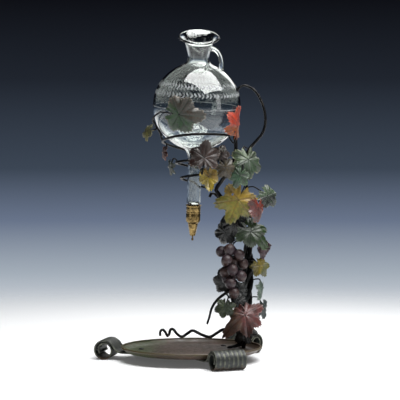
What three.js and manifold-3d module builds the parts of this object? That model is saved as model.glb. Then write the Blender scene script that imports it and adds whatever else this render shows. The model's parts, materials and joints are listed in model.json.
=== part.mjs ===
// A glass spirit globe with a push-up brass valve, hung in a wrought-iron grapevine on a footed tray.
// Millimetres, +Z up, +X to the vine's side of the tray, -Y to the front. The model is laid out about the
// centre of the tray on the floor, and moved at the end so that its box stands centred on the origin.
import * as THREE from 'three';
import { mergeVertices } from 'three/addons/utils/BufferGeometryUtils.js';
import Module from 'manifold-3d';

const wasm = await Module();
wasm.setup();

const FIT_GAP = 0.3;
const UP = new THREE.Vector3(0, 0, 1);

// Tray and feet
const TRAY_RADIUS = 120.7;
const TRAY_FLOOR_RADIUS = 107;
const TRAY_FLOOR_Z = 16.5;
const TRAY_RIM_Z = 25;
const TRAY_THICKNESS = 2.5;
const FOOT_ANGLES = { left: 168, front: 294, rear: 51 };
const FOOT_WIDTH = 56;
const STRAP_THICKNESS = 3;
const SCROLL_RADIUS = 17;
const SCROLL_REACH = 148;
const SCROLL_STEP = 20;
const RIVET_REACH = 88;
const RIVET_RADIUS = 2.2;

// Trunk
const TRUNK_FOOT = new THREE.Vector2(90, 38);
const STEM_RADIUS = 3.8;
const STEM_OFFSET = 4.9;
const TWIST_TURNS = 1.75;
const TENON_RADIUS = 3.2;
const NUT_RADIUS = 7;
const NUT_HEIGHT = 4.5;

// Glass, all heights taken along its axis from the centre of the globe
const GLOBE_CENTRE = new THREE.Vector3(9.4, -10, 434.5);
const LEAN_RIGHT = 1.9;
const LEAN_FORWARD = 5;
const MOUTH_SLANT = 15;
const GLOBE_RADIUS = 74.6;
const GLASS_WALL = 2.6;
const GLASS_SEAM = 0.3;
const TUBE_WELD = -70;
const NECK_WELD = 71;
const TUBE_RADIUS = 12.2;
const TUBE_END_RADIUS = 8;
const TUBE_END_WALL = 2.4;
const TUBE_SHOULDER = -166.5;
const TUBE_END = -196.8;
const NECK_BASE = 84;
const NECK_BASE_RADIUS = 18.2;
const NECK_TOP = 109;
const NECK_TOP_RADIUS = 24.5;
const LIP_RADIUS = 34.3;
const LIP_HEIGHT = 117.5;

// Brass nozzle and its valve
const FERRULE_RADIUS = 12.25;
const FERRULE_BORE = 10.9;
const FERRULE_TOP = -169;
const FERRULE_FLOOR = -197.5;
const FERRULE_BOTTOM = -200.5;
const FERRULE_THROAT = 7.2;
const CONE_TOP_RADIUS = 8.5;
const CONE_TIP_RADIUS = 4.15;
const CONE_TIP = -222.5;
const CONE_BORE = 4.6;
const SEAT_HEIGHT = -213;
const SEAT_HOLE = 2;
const PIN_RADIUS = 1.2;
const PIN_BOTTOM = -231;
const PIN_TOP = -201;
const DISC_RADIUS = 3.9;
const DISC_BOTTOM = -210.9;
const DISC_THICKNESS = 1.5;
const WASHER_THICKNESS = 1.5;
const GUIDE_BOTTOM = -199.4;
const GUIDE_THICKNESS = 1.3;
const SPRING_RADIUS = 2.6;
const SPRING_WIRE = 0.45;
const SPRING_TURNS = 4;

// Vine wires
const CRADLE_WIRE = 2.25;
const LOOP_WIRE = 2.9;
const TENDRIL_WIRE = 2.2;
const GRAPE_RADIUS = 9;
const LEAF_THICKNESS = 1.1;
const STALK_RADIUS = 1.3;

const PAINT = {
  black: [0x1d1c20, 0.45, 0.6],
  iron: [0x2a2927, 0.5, 0.7],
  trayBrown: [0x5c5045, 0.55, 0.5],
  green: [0x4c6140, 0.5, 0.4],
  darkGreen: [0x2f4631, 0.5, 0.4],
  olive: [0x7a7332, 0.5, 0.4],
  yellow: [0xa8903a, 0.5, 0.4],
  red: [0x9c3f2e, 0.5, 0.4],
  orange: [0xb0512c, 0.5, 0.4],
  maroon: [0x56392f, 0.5, 0.4],
  rose: [0x97605a, 0.5, 0.4],
  grape: [0x4b3438, 0.4, 0.2],
  brass: [0xb98a3e, 0.3, 1],
  steel: [0x9a9a98, 0.35, 1],
  cork: [0xb58a5c, 0.9, 0],
  leather: [0x5a3a26, 0.8, 0],
};

const group = new THREE.Group();
const dispenser = new THREE.Group();
dispenser.position.copy(GLOBE_CENTRE);
dispenser.rotation.set(THREE.MathUtils.degToRad(LEAN_FORWARD), THREE.MathUtils.degToRad(LEAN_RIGHT), 0);
group.add(dispenser);
dispenser.updateMatrixWorld(true);

function metal(name) {
  const [color, roughness, metalness] = PAINT[name];
  return new THREE.MeshStandardMaterial({ color, roughness, metalness });
}

function addPart(name, geometry, material, parent = group) {
  const mesh = new THREE.Mesh(geometry, material);
  mesh.name = name;
  parent.add(mesh);
  return mesh;
}

// Solids and booleans

function bareGeometry(geometry) {
  const bare = geometry.clone();
  bare.deleteAttribute('normal');
  bare.deleteAttribute('uv');
  return mergeVertices(bare, 1e-4);
}

function toSolid(geometry) {
  const bare = bareGeometry(geometry);
  const vertProperties = Float32Array.from(bare.attributes.position.array);
  const index = bare.index.array;
  const faces = [];
  for (let i = 0; i < index.length; i += 3) {
    const [a, b, c] = [index[i], index[i + 1], index[i + 2]];
    if (a !== b && b !== c && a !== c) faces.push(a, b, c);
  }
  const triVerts = Uint32Array.from(faces);
  const solid = new wasm.Manifold(new wasm.Mesh({ numProp: 3, vertProperties, triVerts }));
  return solid;
}

function toGeometry(solid) {
  const mesh = solid.getMesh();
  const geometry = new THREE.BufferGeometry();
  geometry.setAttribute('position', new THREE.BufferAttribute(Float32Array.from(mesh.vertProperties), 3));
  geometry.setIndex(Array.from(mesh.triVerts));
  geometry.computeVertexNormals();
  return geometry;
}

function join(...geometries) {
  return toGeometry(geometries.map(toSolid).reduce((whole, piece) => whole.add(piece)));
}

function cut(geometry, ...tools) {
  return toGeometry(tools.map(toSolid).reduce((whole, tool) => whole.subtract(tool), toSolid(geometry)));
}

// A body of revolution about Z, from points of radius and height that start and end on the axis or close.
function lathe(profile, segments) {
  const points = profile.map(([radius, height]) => new THREE.Vector2(radius, height));
  const geometry = new THREE.LatheGeometry(points, segments);
  geometry.rotateX(Math.PI / 2);
  return geometry;
}

function postAt(x, y, bottom, top, radius, segments = 16) {
  const post = new THREE.CylinderGeometry(radius, radius, top - bottom, segments);
  post.rotateX(Math.PI / 2);
  post.translate(x, y, (top + bottom) / 2);
  return post;
}

// A wire along a curve: a thin section is extruded, then swelled about the curve to its radius.
function wire(curve, radiusAt, steps, sides = 6) {
  const section = new THREE.Shape();
  for (let i = 0; i < sides; i += 1) {
    const angle = (2 * Math.PI * i) / sides;
    const [x, y] = [Math.cos(angle), Math.sin(angle)];
    if (i === 0) section.moveTo(x, y);
    else section.lineTo(x, y);
  }
  section.closePath();
  const geometry = new THREE.ExtrudeGeometry(section, { steps, extrudePath: curve, bevelEnabled: false });
  const centres = curve.getSpacedPoints(steps);
  const position = geometry.attributes.position;
  const vertex = new THREE.Vector3();
  for (let i = 0; i < position.count; i += 1) {
    vertex.fromBufferAttribute(position, i);
    let nearest = 0;
    for (let k = 1; k <= steps; k += 1) {
      if (centres[k].distanceToSquared(vertex) < centres[nearest].distanceToSquared(vertex)) nearest = k;
    }
    vertex.sub(centres[nearest]).multiplyScalar(radiusAt(nearest / steps)).add(centres[nearest]);
    position.setXYZ(i, vertex.x, vertex.y, vertex.z);
  }
  geometry.computeVertexNormals();
  return geometry;
}

function route(points) {
  return new THREE.CatmullRomCurve3(points.map(([x, y, z]) => new THREE.Vector3(x, y, z)), false, 'centripetal');
}

function tapered(start, end) {
  return (share) => start + (end - start) * share;
}

function polar(radius, degrees) {
  const angle = THREE.MathUtils.degToRad(degrees);
  return new THREE.Vector2(radius * Math.cos(angle), radius * Math.sin(angle));
}

// A place given beside the globe's leaning axis, in the frame of the layout.
function besideAxis(radius, degrees, height) {
  const { x, y } = polar(radius, degrees);
  return new THREE.Vector3(x, y, height).applyMatrix4(dispenser.matrixWorld);
}

// Tray, feet and their rivets

function trayGeometry() {
  const wall = TRAY_THICKNESS;
  const shoulder = TRAY_FLOOR_RADIUS;
  const profile = [
    [0, TRAY_FLOOR_Z - wall],
    [shoulder, TRAY_FLOOR_Z - wall],
    [TRAY_RADIUS - 5, TRAY_FLOOR_Z + 0.5],
    [TRAY_RADIUS, TRAY_RIM_Z - 4],
    [TRAY_RADIUS, TRAY_RIM_Z - 1],
    [TRAY_RADIUS - 1.2, TRAY_RIM_Z],
    [TRAY_RADIUS - 3, TRAY_RIM_Z - 0.6],
    [TRAY_RADIUS - 7, TRAY_FLOOR_Z + 3.2],
    [shoulder - 1, TRAY_FLOOR_Z],
    [0, TRAY_FLOOR_Z],
  ];
  const holes = Object.values(FOOT_ANGLES).map((angle) => {
    const { x, y } = polar(RIVET_REACH, angle);
    return postAt(x, y, 0, TRAY_RIM_Z, RIVET_RADIUS + FIT_GAP);
  });
  holes.push(postAt(TRUNK_FOOT.x, TRUNK_FOOT.y, 0, TRAY_RIM_Z, TENON_RADIUS + FIT_GAP));
  return cut(lathe(profile, 44), ...holes);
}

// Centre line of a strap that leaves the tray's underside and rolls over into a scroll standing on the floor.
function scrollLine() {
  const level = TRAY_FLOOR_Z - TRAY_THICKNESS - FIT_GAP - STRAP_THICKNESS / 2;
  const line = [[RIVET_REACH - 16, level], [SCROLL_REACH - 33, level], [SCROLL_REACH - 23.5, level + 2.2]];
  line.push([SCROLL_REACH - 19.4, level + 6.5], [SCROLL_REACH - 14.8, SCROLL_RADIUS + 9]);
  const rolled = SCROLL_RADIUS - STRAP_THICKNESS / 2;
  const tighteningPerTurn = 9;
  for (let angle = 120; angle >= -400; angle -= SCROLL_STEP) {
    const tightened = Math.max(0, (-100 - angle) / 360) * tighteningPerTurn;
    const radius = (rolled - tightened) / (angle > 100 ? 0.97 : 1);
    const { x, y } = polar(radius, angle);
    line.push([SCROLL_REACH + x, SCROLL_RADIUS + y]);
  }
  return line.map(([along, height]) => new THREE.Vector2(along, height));
}

function footGeometry(angle) {
  const line = scrollLine();
  const sides = [1, -1].map((side) => line.map((point, i) => {
    const before = line[Math.max(i - 1, 0)];
    const after = line[Math.min(i + 1, line.length - 1)];
    const along = after.clone().sub(before).normalize();
    const across = new THREE.Vector2(-along.y, along.x).multiplyScalar((side * STRAP_THICKNESS) / 2);
    return point.clone().add(across);
  }));
  const outline = new THREE.Shape([...sides[0], ...sides[1].reverse()]);
  const foot = new THREE.ExtrudeGeometry(outline, { depth: FOOT_WIDTH, bevelEnabled: false });
  foot.translate(0, 0, -FOOT_WIDTH / 2);
  foot.rotateX(Math.PI / 2);
  const lowest = new THREE.Box3().setFromBufferAttribute(foot.attributes.position).min.z;
  foot.translate(0, 0, -lowest);
  const hole = postAt(RIVET_REACH, 0, -5, TRAY_FLOOR_Z, RIVET_RADIUS + FIT_GAP);
  const bored = cut(foot, hole);
  bored.rotateZ(THREE.MathUtils.degToRad(angle));
  return bored;
}

function rivetGeometry(angle) {
  const head = TRAY_FLOOR_Z + FIT_GAP;
  const tail = TRAY_FLOOR_Z - TRAY_THICKNESS - STRAP_THICKNESS - 3 * FIT_GAP;
  const rivet = lathe([
    [0, tail - 1.8],
    [3, tail - 1.4],
    [4, tail],
    [RIVET_RADIUS, tail],
    [RIVET_RADIUS, head],
    [5, head],
    [4, head + 1.4],
    [0, head + 1.9],
  ], 12);
  const { x, y } = polar(RIVET_REACH, angle);
  rivet.translate(x, y, 0);
  return rivet;
}

// Trunk: three stems twisted about one spine

const SPINE = route([
  [TRUNK_FOOT.x, TRUNK_FOOT.y, 30],
  [94, 39, 70],
  [98, 41, 120],
  [99, 41, 165],
  [96, 40, 203],
]);

function twistedPoints(phase, count = 16) {
  return Array.from({ length: count + 1 }, (unused, i) => {
    const share = i / count;
    const centre = SPINE.getPoint(share);
    const along = SPINE.getTangent(share);
    const side = new THREE.Vector3(0, 1, 0).cross(along).normalize();
    const front = along.clone().cross(side);
    const angle = THREE.MathUtils.degToRad(phase) + 2 * Math.PI * TWIST_TURNS * share;
    centre.addScaledVector(side, STEM_OFFSET * Math.cos(angle));
    centre.addScaledVector(front, STEM_OFFSET * Math.sin(angle));
    return centre.toArray();
  });
}

function stem(phase, foot, crown) {
  return route([...foot, ...twistedPoints(phase), ...crown]);
}

const ROOT_Z = TRAY_FLOOR_Z + 3;

// Elbow of the vine, from where one stem carries on as the bar that holds the cradle.
const ELBOW = [42, 17.5, 291];
const BAR_TOP = [74, 4, 384];

function trunkGeometries() {
  const arch = stem(0, [[90, 38, 6.5], [90, 38, 14], [90.4, 38, 22]], [
    [86, 33, 222],
    [72, 27.5, 246],
    [57, 22.5, 270],
    [46.5, 19, 284],
    ELBOW,
    [47, 17, 300],
    [60, 16, 317],
    [71, 13, 338],
    [76, 9, 362],
    BAR_TOP,
  ]);
  const thorn = stem(240, [[62, 22, ROOT_Z], [72, 28, ROOT_Z + 0.6], [82, 33, 22.5]], [
    [81, 41, 221],
    [68, 37.5, 244],
    [53, 31.5, 267],
    [41, 26.5, 283],
    [35, 23, 285.5],
    [31, 21, 278],
  ]);
  const upright = stem(120, [[80, 62, ROOT_Z], [84, 54, ROOT_Z + 0.4], [87, 46, 22.5]], [
    [102.5, 39.5, 226],
    [99, 36, 262],
    [94, 34, 300],
    [91, 33, 336],
  ]);
  const straight = (share) => (share < 0.035 ? TENON_RADIUS : STEM_RADIUS - 0.9 * Math.max(0, share - 0.5));
  const rooted = (share) => Math.min(STEM_RADIUS, 2.2 + 22 * share) - 5 * Math.max(0, share - 0.72);
  const climbing = (share) => Math.min(STEM_RADIUS, 2.2 + 22 * share) - 1.6 * Math.max(0, share - 0.6);
  return {
    trunk_arch: wire(arch, straight, 56, 7),
    trunk_thorn: wire(thorn, rooted, 42, 7),
    trunk_upright: wire(upright, climbing, 42, 7),
  };
}

function collarGeometry(centre, along, bore, height) {
  const collar = lathe([
    [bore, -height / 2],
    [bore + 1.6, -height / 2],
    [bore + 2.4, 0],
    [bore + 1.6, height / 2],
    [bore, height / 2],
    [bore, -height / 2],
  ], 20);
  const turn = new THREE.Quaternion().setFromUnitVectors(UP, new THREE.Vector3(...along).normalize());
  collar.applyQuaternion(turn);
  collar.translate(...centre);
  return collar;
}

function nutGeometry() {
  const nut = new THREE.CylinderGeometry(NUT_RADIUS, NUT_RADIUS, NUT_HEIGHT, 6);
  nut.rotateX(Math.PI / 2);
  const top = TRAY_FLOOR_Z - TRAY_THICKNESS - FIT_GAP;
  nut.translate(TRUNK_FOOT.x, TRUNK_FOOT.y, top - NUT_HEIGHT / 2);
  return cut(nut, postAt(TRUNK_FOOT.x, TRUNK_FOOT.y, 0, 20, TENON_RADIUS + FIT_GAP));
}

// Cradle: one wire that winds down about the globe and its tube, a station of radius and height each quarter turn

class CradleCoil extends THREE.Curve {
  constructor() {
    super();
    this.turns = 2.75;
    this.stations = new THREE.SplineCurve([
      [62.5, -46.8], [67, -39.8], [55.5, -63.5], [46, -84],
      [39, -88.5], [34.5, -87.5], [32, -98], [29.5, -108],
      [26.5, -112], [24.5, -115], [23, -124], [22.5, -133],
    ].map(([radius, height]) => new THREE.Vector2(radius, height)));
  }

  getPoint(share, target = new THREE.Vector3()) {
    const station = this.stations.getPoint(share);
    return target.copy(besideAxis(station.x, -360 * this.turns * share, station.y));
  }
}

function cradleGeometry() {
  const coil = new CradleCoil();
  const count = 44;
  const points = Array.from({ length: count + 1 }, (unused, i) => coil.getPoint(i / count).toArray());
  points.push([13, 26, 298], [24, 22.5, 295], [35.5, 18, 293]);
  return wire(route(points), () => CRADLE_WIRE, 92);
}

// Tendrils and the tall loop

function tendrilGeometries() {
  const loop = route([
    [92, 32.5, 345],
    [99, 31, 360],
    [110.5, 30, 373.5],
    [121, 30, 386],
    [126.5, 30, 403],
    [126, 30, 422],
    [120, 31, 442],
    [110, 33, 459],
    [97, 34.5, 468],
    [86, 35.5, 468.5],
    [79, 36, 461],
    [81, 36.5, 454],
  ]);
  const branch = route([
    [-49.8, -8.5, 377.5],
    [-52, -14, 388],
    [-59, -22, 400],
    [-64.5, -33, 410],
    [-62, -48, 418],
    [-53, -63, 425],
  ]);
  const hanging = route([
    [86, 33, 128],
    [73, 28, 121],
    [58, 25, 112],
    [44, 23, 101],
    [35, 22, 87],
    [31, 22, 72],
    [27, 22, 60],
  ]);
  const base = route([
    [82, 33, 46],
    [67, 34, 49.5],
    [53, 36, 48],
    [44, 38, 42.5],
    [32, 39, 35.5],
    [18, 37, 39.5],
    [2, 39, 46.5],
    [-7, 43, 41],
    [-16, 42, 35.5],
    [-25, 37, 41],
    [-31.5, 38, 49],
    [-36.5, 45, 47],
    [-38.5, 48, 39.5],
    [-41.5, 43, 36.5],
    [-44.5, 38, 43],
    [-49.5, 39, 48.5],
    [-54, 43, 44],
    [-54, 44, 37],
  ]);
  const stalk = route([
    [85, 34, 206],
    [74, 24, 200],
    [67, 19, 188],
    [67, 17, 170],
    [71, 17.5, 152],
    [71, 16, 136],
  ]);
  return {
    loop_tendril: wire(loop, tapered(LOOP_WIRE, 1.9), 30, 7),
    branch_tendril: wire(branch, tapered(2.1, 1.5), 16),
    hanging_tendril: wire(hanging, tapered(TENDRIL_WIRE, 0.9), 18),
    base_tendril: wire(base, tapered(2.7, 1.9), 60),
    grape_stalk: wire(stalk, () => 1.2, 14),
  };
}

// Leaves: a five-lobed plate of sheet iron, bent, with its stalk brought round to the back.
// Each leaf says where its centre is, which way its face looks (degrees to the right of the front and up),
// how far its tip is swung to the right of hanging straight down, its length from centre to tip,
// how its sides fold and its tip curls forward or, below zero, back, with how far its stalk drops back,
// and its paint.
const LEAVES = [
  ['leaf_globe_front', [-20, -88.5, 422], [-19, -5], 84, 37, [-0.1, -0.25, 0.02], 'darkGreen'],
  ['leaf_globe_right', [77, -49, 402], [60, -3], 172, 33, [-0.36, -0.1, 0.1], 'orange'],
  ['leaf_branch', [-73, -40, 393], [-50, 25], -60, 16, [-0.2, -0.2], 'olive'],
  ['leaf_cradle_red', [-47, -20, 357], [-75, 5], 10, 14, [-0.25, -0.2], 'red'],
  ['leaf_cradle_green', [-36, -16, 332], [-72, -5], -15, 16, [-0.2, -0.2], 'darkGreen'],
  ['leaf_funnel', [22, -66, 349], [4, 18], 172, 30, [-0.25, 0.1], 'maroon'],
  ['leaf_tube', [28.5, -44, 317], [8, 8], 4, 22, [0.22, 0.2], 'olive'],
  ['leaf_elbow', [58, -26, 331], [14, 4], 24, 19, [-0.3, -0.2], 'maroon'],
  ['leaf_shoulder', [97, 0, 343], [28, 22], -6, 32, [-0.34, -0.2], 'green'],
  ['leaf_shoulder_low', [82, -20, 317], [-2, 6], -22, 20, [-0.25, -0.25], 'green'],
  ['leaf_yellow', [80, -4, 275], [-4, 10], -22, 37, [-0.22, -0.1], 'yellow'],
  ['leaf_red', [114, 3, 261], [52, 4], -4, 26, [-0.3, -0.1], 'red'],
  ['leaf_right', [130, 22, 281], [34, 10], 46, 27, [-0.3, -0.1], 'green'],
  ['leaf_broad', [101, 4, 220], [8, 26], 52, 33, [-0.28, -0.22], 'green'],
  ['leaf_bud', [121, 23, 195], [26, -8], 6, 20, [0.35, 0.15], 'maroon'],
  ['leaf_dark_upper', [60, 60, 226], [-48, 0], -20, 24, [-0.2, -0.1], 'black'],
  ['leaf_small_yellow', [117, 22, 160], [16, 8], 34, 19, [-0.2, -0.1], 'yellow'],
  ['leaf_side', [121, 32, 121], [58, 4], -24, 18, [-0.25, -0.2], 'green'],
  ['leaf_olive', [57, 7, 91], [-12, 10], -14, 20, [-0.3, -0.25], 'olive'],
  ['leaf_rose', [92, 6, 77], [4, 24], 8, 35, [-0.25, -0.2], 'rose'],
  ['leaf_low_side', [124, 50, 86], [56, 0], 12, 19, [-0.2, -0.15], 'darkGreen'],
  ['leaf_dark_lower', [62, 58, 128], [-52, 0], -50, 22, [-0.2, -0.1], 'black'],
];

function lobeReach(angle) {
  const turned = Math.abs(angle) / Math.PI;
  const lobes = 0.8 + 0.2 * Math.cos(6 * angle);
  const notch = turned > 0.95 ? 0.35 : 1;
  return lobes * (1 - 0.24 * turned) * notch;
}

function leafFrame([faceRight, faceUp], swing) {
  const [right, up, turn] = [faceRight, faceUp, swing].map(THREE.MathUtils.degToRad);
  const face = new THREE.Vector3(Math.sin(right) * Math.cos(up), -Math.cos(right) * Math.cos(up), Math.sin(up));
  const down = new THREE.Vector3(Math.sin(right) * Math.sin(up), -Math.cos(right) * Math.sin(up), -Math.cos(up));
  const across = new THREE.Vector3(Math.cos(right), Math.sin(right), 0);
  const tip = down.multiplyScalar(Math.cos(turn)).addScaledVector(across, Math.sin(turn));
  return new THREE.Matrix4().makeBasis(tip, face.clone().cross(tip), face);
}

function leafGeometry(place, facing, swing, length, [fold, curl, drop = 0.4]) {
  const half = LEAF_THICKNESS / 2;
  const blade = new THREE.LatheGeometry([
    new THREE.Vector2(0, -half),
    new THREE.Vector2(0.5, -half),
    new THREE.Vector2(1, -half),
    new THREE.Vector2(1, half),
    new THREE.Vector2(0.5, half),
    new THREE.Vector2(0, half),
  ], 12);
  blade.rotateX(Math.PI / 2);
  const position = blade.attributes.position;
  for (let i = 0; i < position.count; i += 1) {
    const [x, y, z] = [position.getX(i), position.getY(i), position.getZ(i)];
    const reach = lobeReach(Math.atan2(y, x));
    const [along, across] = [x * reach, y * reach];
    const bend = fold * across * across + curl * along * along;
    position.setXYZ(i, along * length, across * length, z + bend * length);
  }
  const stalk = wire(route([
    [0.04 * length, 0, -0.2],
    [-0.2 * length, 0, -0.3 * drop * length],
    [-0.85 * length, 0, -drop * length],
  ]), () => STALK_RADIUS, 2, 4);
  const leaf = join(blade, stalk);
  leaf.applyMatrix4(leafFrame(facing, swing));
  leaf.translate(...place);
  return leaf;
}

// Grapes

const GRAPES = [
  [51, 20.5, 185],
  [65.5, 7, 189.5],
  [60.5, 1, 171.5],
  [81.5, 10, 180],
  [88.5, 19, 164],
  [70.5, -1, 155],
  [58, 14.5, 150.5],
  [85, 5, 144],
  [67, 3, 132],
];

// Glass: the profile runs up the outside from the end of the tube, over the lip, and back down the inside

function spanPoints(curve, divisions) {
  return curve.getPoints(divisions).map((point) => [point.x, point.y]);
}

function bend(start, control, end, divisions) {
  return spanPoints(new THREE.QuadraticBezierCurve(...[start, control, end].map((p) => new THREE.Vector2(...p))),
    divisions);
}

function glassSide(radius, tube, neckBase, neckTop, divisions) {
  const leave = 0.36;
  const [radial, axial] = [radius * Math.sin(leave), radius * Math.cos(leave)];
  const funnel = bend([tube, -radius - 18], [tube, -radius + 1.6], [radial, -axial], 4);
  const arc = new THREE.EllipseCurve(0, 0, radius, radius, leave - Math.PI / 2, Math.PI / 2 - leave);
  const shoulder = bend([radial, axial], [neckBase, radius - 0.5], [neckBase, NECK_BASE], 4);
  const neck = bend([neckBase, NECK_BASE], [neckBase + 1.6, NECK_BASE + 12], [neckTop, NECK_TOP], 3);
  return [...funnel, ...spanPoints(arc, divisions).slice(1), ...shoulder.slice(1), ...neck.slice(1)];
}

function glassProfile() {
  const endBore = TUBE_END_RADIUS - TUBE_END_WALL;
  const outside = glassSide(GLOBE_RADIUS, TUBE_RADIUS, NECK_BASE_RADIUS, NECK_TOP_RADIUS, 12);
  const inside = glassSide(GLOBE_RADIUS - GLASS_WALL, TUBE_RADIUS - GLASS_WALL, NECK_BASE_RADIUS - GLASS_WALL,
    NECK_TOP_RADIUS - GLASS_WALL - 0.4, 12);
  const under = bend([NECK_TOP_RADIUS, NECK_TOP], [NECK_TOP_RADIUS + 2.5, LIP_HEIGHT - 2.8],
    [LIP_RADIUS - 1, LIP_HEIGHT - 1.9], 3);
  const over = bend([LIP_RADIUS - 1.6, LIP_HEIGHT + 1.7], [NECK_TOP_RADIUS - 1, LIP_HEIGHT + 0.6],
    [NECK_TOP_RADIUS - GLASS_WALL - 0.4, NECK_TOP], 4);
  return [
    [TUBE_END_RADIUS, TUBE_END],
    [TUBE_END_RADIUS, TUBE_SHOULDER - 2],
    [TUBE_RADIUS, TUBE_SHOULDER],
    ...outside,
    ...under.slice(1),
    [LIP_RADIUS, LIP_HEIGHT],
    ...over.slice(0, -1),
    ...inside.reverse(),
    [TUBE_RADIUS - GLASS_WALL, TUBE_SHOULDER - 0.5],
    [endBore, TUBE_SHOULDER - 3.5],
    [endBore, TUBE_END],
    [TUBE_END_RADIUS, TUBE_END],
  ];
}

// The blown glass in the lengths it was drawn to and welded from: drip tube, globe, neck and handle
function glassGeometries() {
  const blown = lathe(glassProfile(), 28);
  slantMouth(blown);
  const room = 2 * GLOBE_RADIUS;
  const slab = (bottom, top) => postAt(0, 0, bottom, top, room, 8);
  const handle = wire(route([
    [20.3, 0, 98],
    [28, 0, 96],
    [35, 0, 88.5],
    [38.5, 0, 78],
    [39.2, 0, 63.4],
  ]), tapered(3.2, 3.6), 14, 8);
  slantMouth(handle);
  const skin = glassSide(GLOBE_RADIUS + GLASS_SEAM, TUBE_RADIUS, NECK_BASE_RADIUS + GLASS_SEAM,
    NECK_TOP_RADIUS + GLASS_SEAM, 12);
  const core = lathe([[0, skin[0][1]], ...skin, [0, NECK_TOP]], 28);
  slantMouth(core);
  return {
    glass_tube: cut(blown, slab(TUBE_WELD, room)),
    glass_globe: cut(blown, slab(-2 * room, TUBE_WELD + GLASS_SEAM), slab(NECK_WELD, room)),
    glass_neck: cut(blown, slab(-2 * room, NECK_WELD + GLASS_SEAM)),
    glass_handle: cut(handle, core),
  };
}

// The mouth is not square to the neck: it rises towards the back, more the nearer to the lip.
function slantMouth(glass) {
  const slope = Math.tan(THREE.MathUtils.degToRad(MOUTH_SLANT));
  const position = glass.attributes.position;
  for (let i = 0; i < position.count; i += 1) {
    const share = THREE.MathUtils.smoothstep(position.getZ(i), NECK_BASE, LIP_HEIGHT);
    position.setZ(i, position.getZ(i) + share * slope * position.getY(i));
  }
  glass.computeVertexNormals();
}

function ferruleGeometry() {
  return lathe([
    [FERRULE_BORE, FERRULE_TOP],
    [FERRULE_BORE, FERRULE_FLOOR],
    [FERRULE_THROAT, FERRULE_FLOOR],
    [FERRULE_THROAT, FERRULE_BOTTOM],
    [CONE_TOP_RADIUS + 0.4, FERRULE_BOTTOM],
    [FERRULE_RADIUS, FERRULE_BOTTOM + 4],
    [FERRULE_RADIUS, FERRULE_TOP],
    [FERRULE_BORE, FERRULE_TOP],
  ], 20);
}

function corkGeometry() {
  const [bore, radius] = [TUBE_END_RADIUS + FIT_GAP, FERRULE_BORE - FIT_GAP];
  const [bottom, top] = [TUBE_END, FERRULE_TOP - 0.6];
  return lathe([[bore, bottom], [radius, bottom], [radius, top], [bore, top], [bore, bottom]], 18);
}

function coneGeometry() {
  const tenon = FERRULE_THROAT - FIT_GAP;
  const shoulder = FERRULE_BOTTOM - FIT_GAP;
  return lathe([
    [SEAT_HOLE, CONE_TIP],
    [CONE_TIP_RADIUS, CONE_TIP],
    [CONE_TOP_RADIUS, shoulder],
    [tenon, shoulder],
    [tenon, FERRULE_FLOOR + 0.2],
    [CONE_BORE, FERRULE_FLOOR + 0.2],
    [CONE_BORE, SEAT_HEIGHT],
    [SEAT_HOLE, SEAT_HEIGHT],
    [SEAT_HOLE, CONE_TIP],
  ], 18);
}

// A pierced disc: a hole for the valve's stem in the middle and four for the spirit about it.
function guideGeometry() {
  const radius = CONE_BORE - FIT_GAP;
  const top = GUIDE_BOTTOM + GUIDE_THICKNESS;
  const disc = lathe([[0, GUIDE_BOTTOM], [radius, GUIDE_BOTTOM], [radius, top], [0, top]], 16);
  const holes = [0, 90, 180, 270].map((angle) => {
    const { x, y } = polar(2.9, angle);
    return postAt(x, y, GUIDE_BOTTOM - 1, top + 1, 0.75, 8);
  });
  return cut(disc, postAt(0, 0, GUIDE_BOTTOM - 1, top + 1, PIN_RADIUS + FIT_GAP, 12), ...holes);
}

function pinGeometry() {
  return lathe([
    [0, PIN_BOTTOM],
    [1.5, PIN_BOTTOM],
    [1.9, PIN_BOTTOM + 1],
    [1.9, PIN_BOTTOM + 3.6],
    [PIN_RADIUS, PIN_BOTTOM + 4],
    [PIN_RADIUS, DISC_BOTTOM],
    [DISC_RADIUS, DISC_BOTTOM],
    [DISC_RADIUS, DISC_BOTTOM + DISC_THICKNESS],
    [PIN_RADIUS, DISC_BOTTOM + DISC_THICKNESS],
    [PIN_RADIUS, PIN_TOP],
    [0, PIN_TOP],
  ], 12);
}

function washerGeometry() {
  const top = DISC_BOTTOM - FIT_GAP;
  const bottom = top - WASHER_THICKNESS;
  const bore = PIN_RADIUS + FIT_GAP;
  return lathe([[bore, bottom], [DISC_RADIUS, bottom], [DISC_RADIUS, top], [bore, top], [bore, bottom]], 12);
}

function springGeometry() {
  const bottom = DISC_BOTTOM + DISC_THICKNESS + FIT_GAP + SPRING_WIRE;
  const top = GUIDE_BOTTOM - FIT_GAP - SPRING_WIRE;
  const perTurn = 8;
  const points = Array.from({ length: SPRING_TURNS * perTurn + 1 }, (unused, i) => {
    const { x, y } = polar(SPRING_RADIUS, (360 * i) / perTurn);
    return [x, y, bottom + ((top - bottom) * i) / (SPRING_TURNS * perTurn)];
  });
  return wire(route(points), () => SPRING_WIRE, SPRING_TURNS * perTurn, 5);
}

// Assembly

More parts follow.
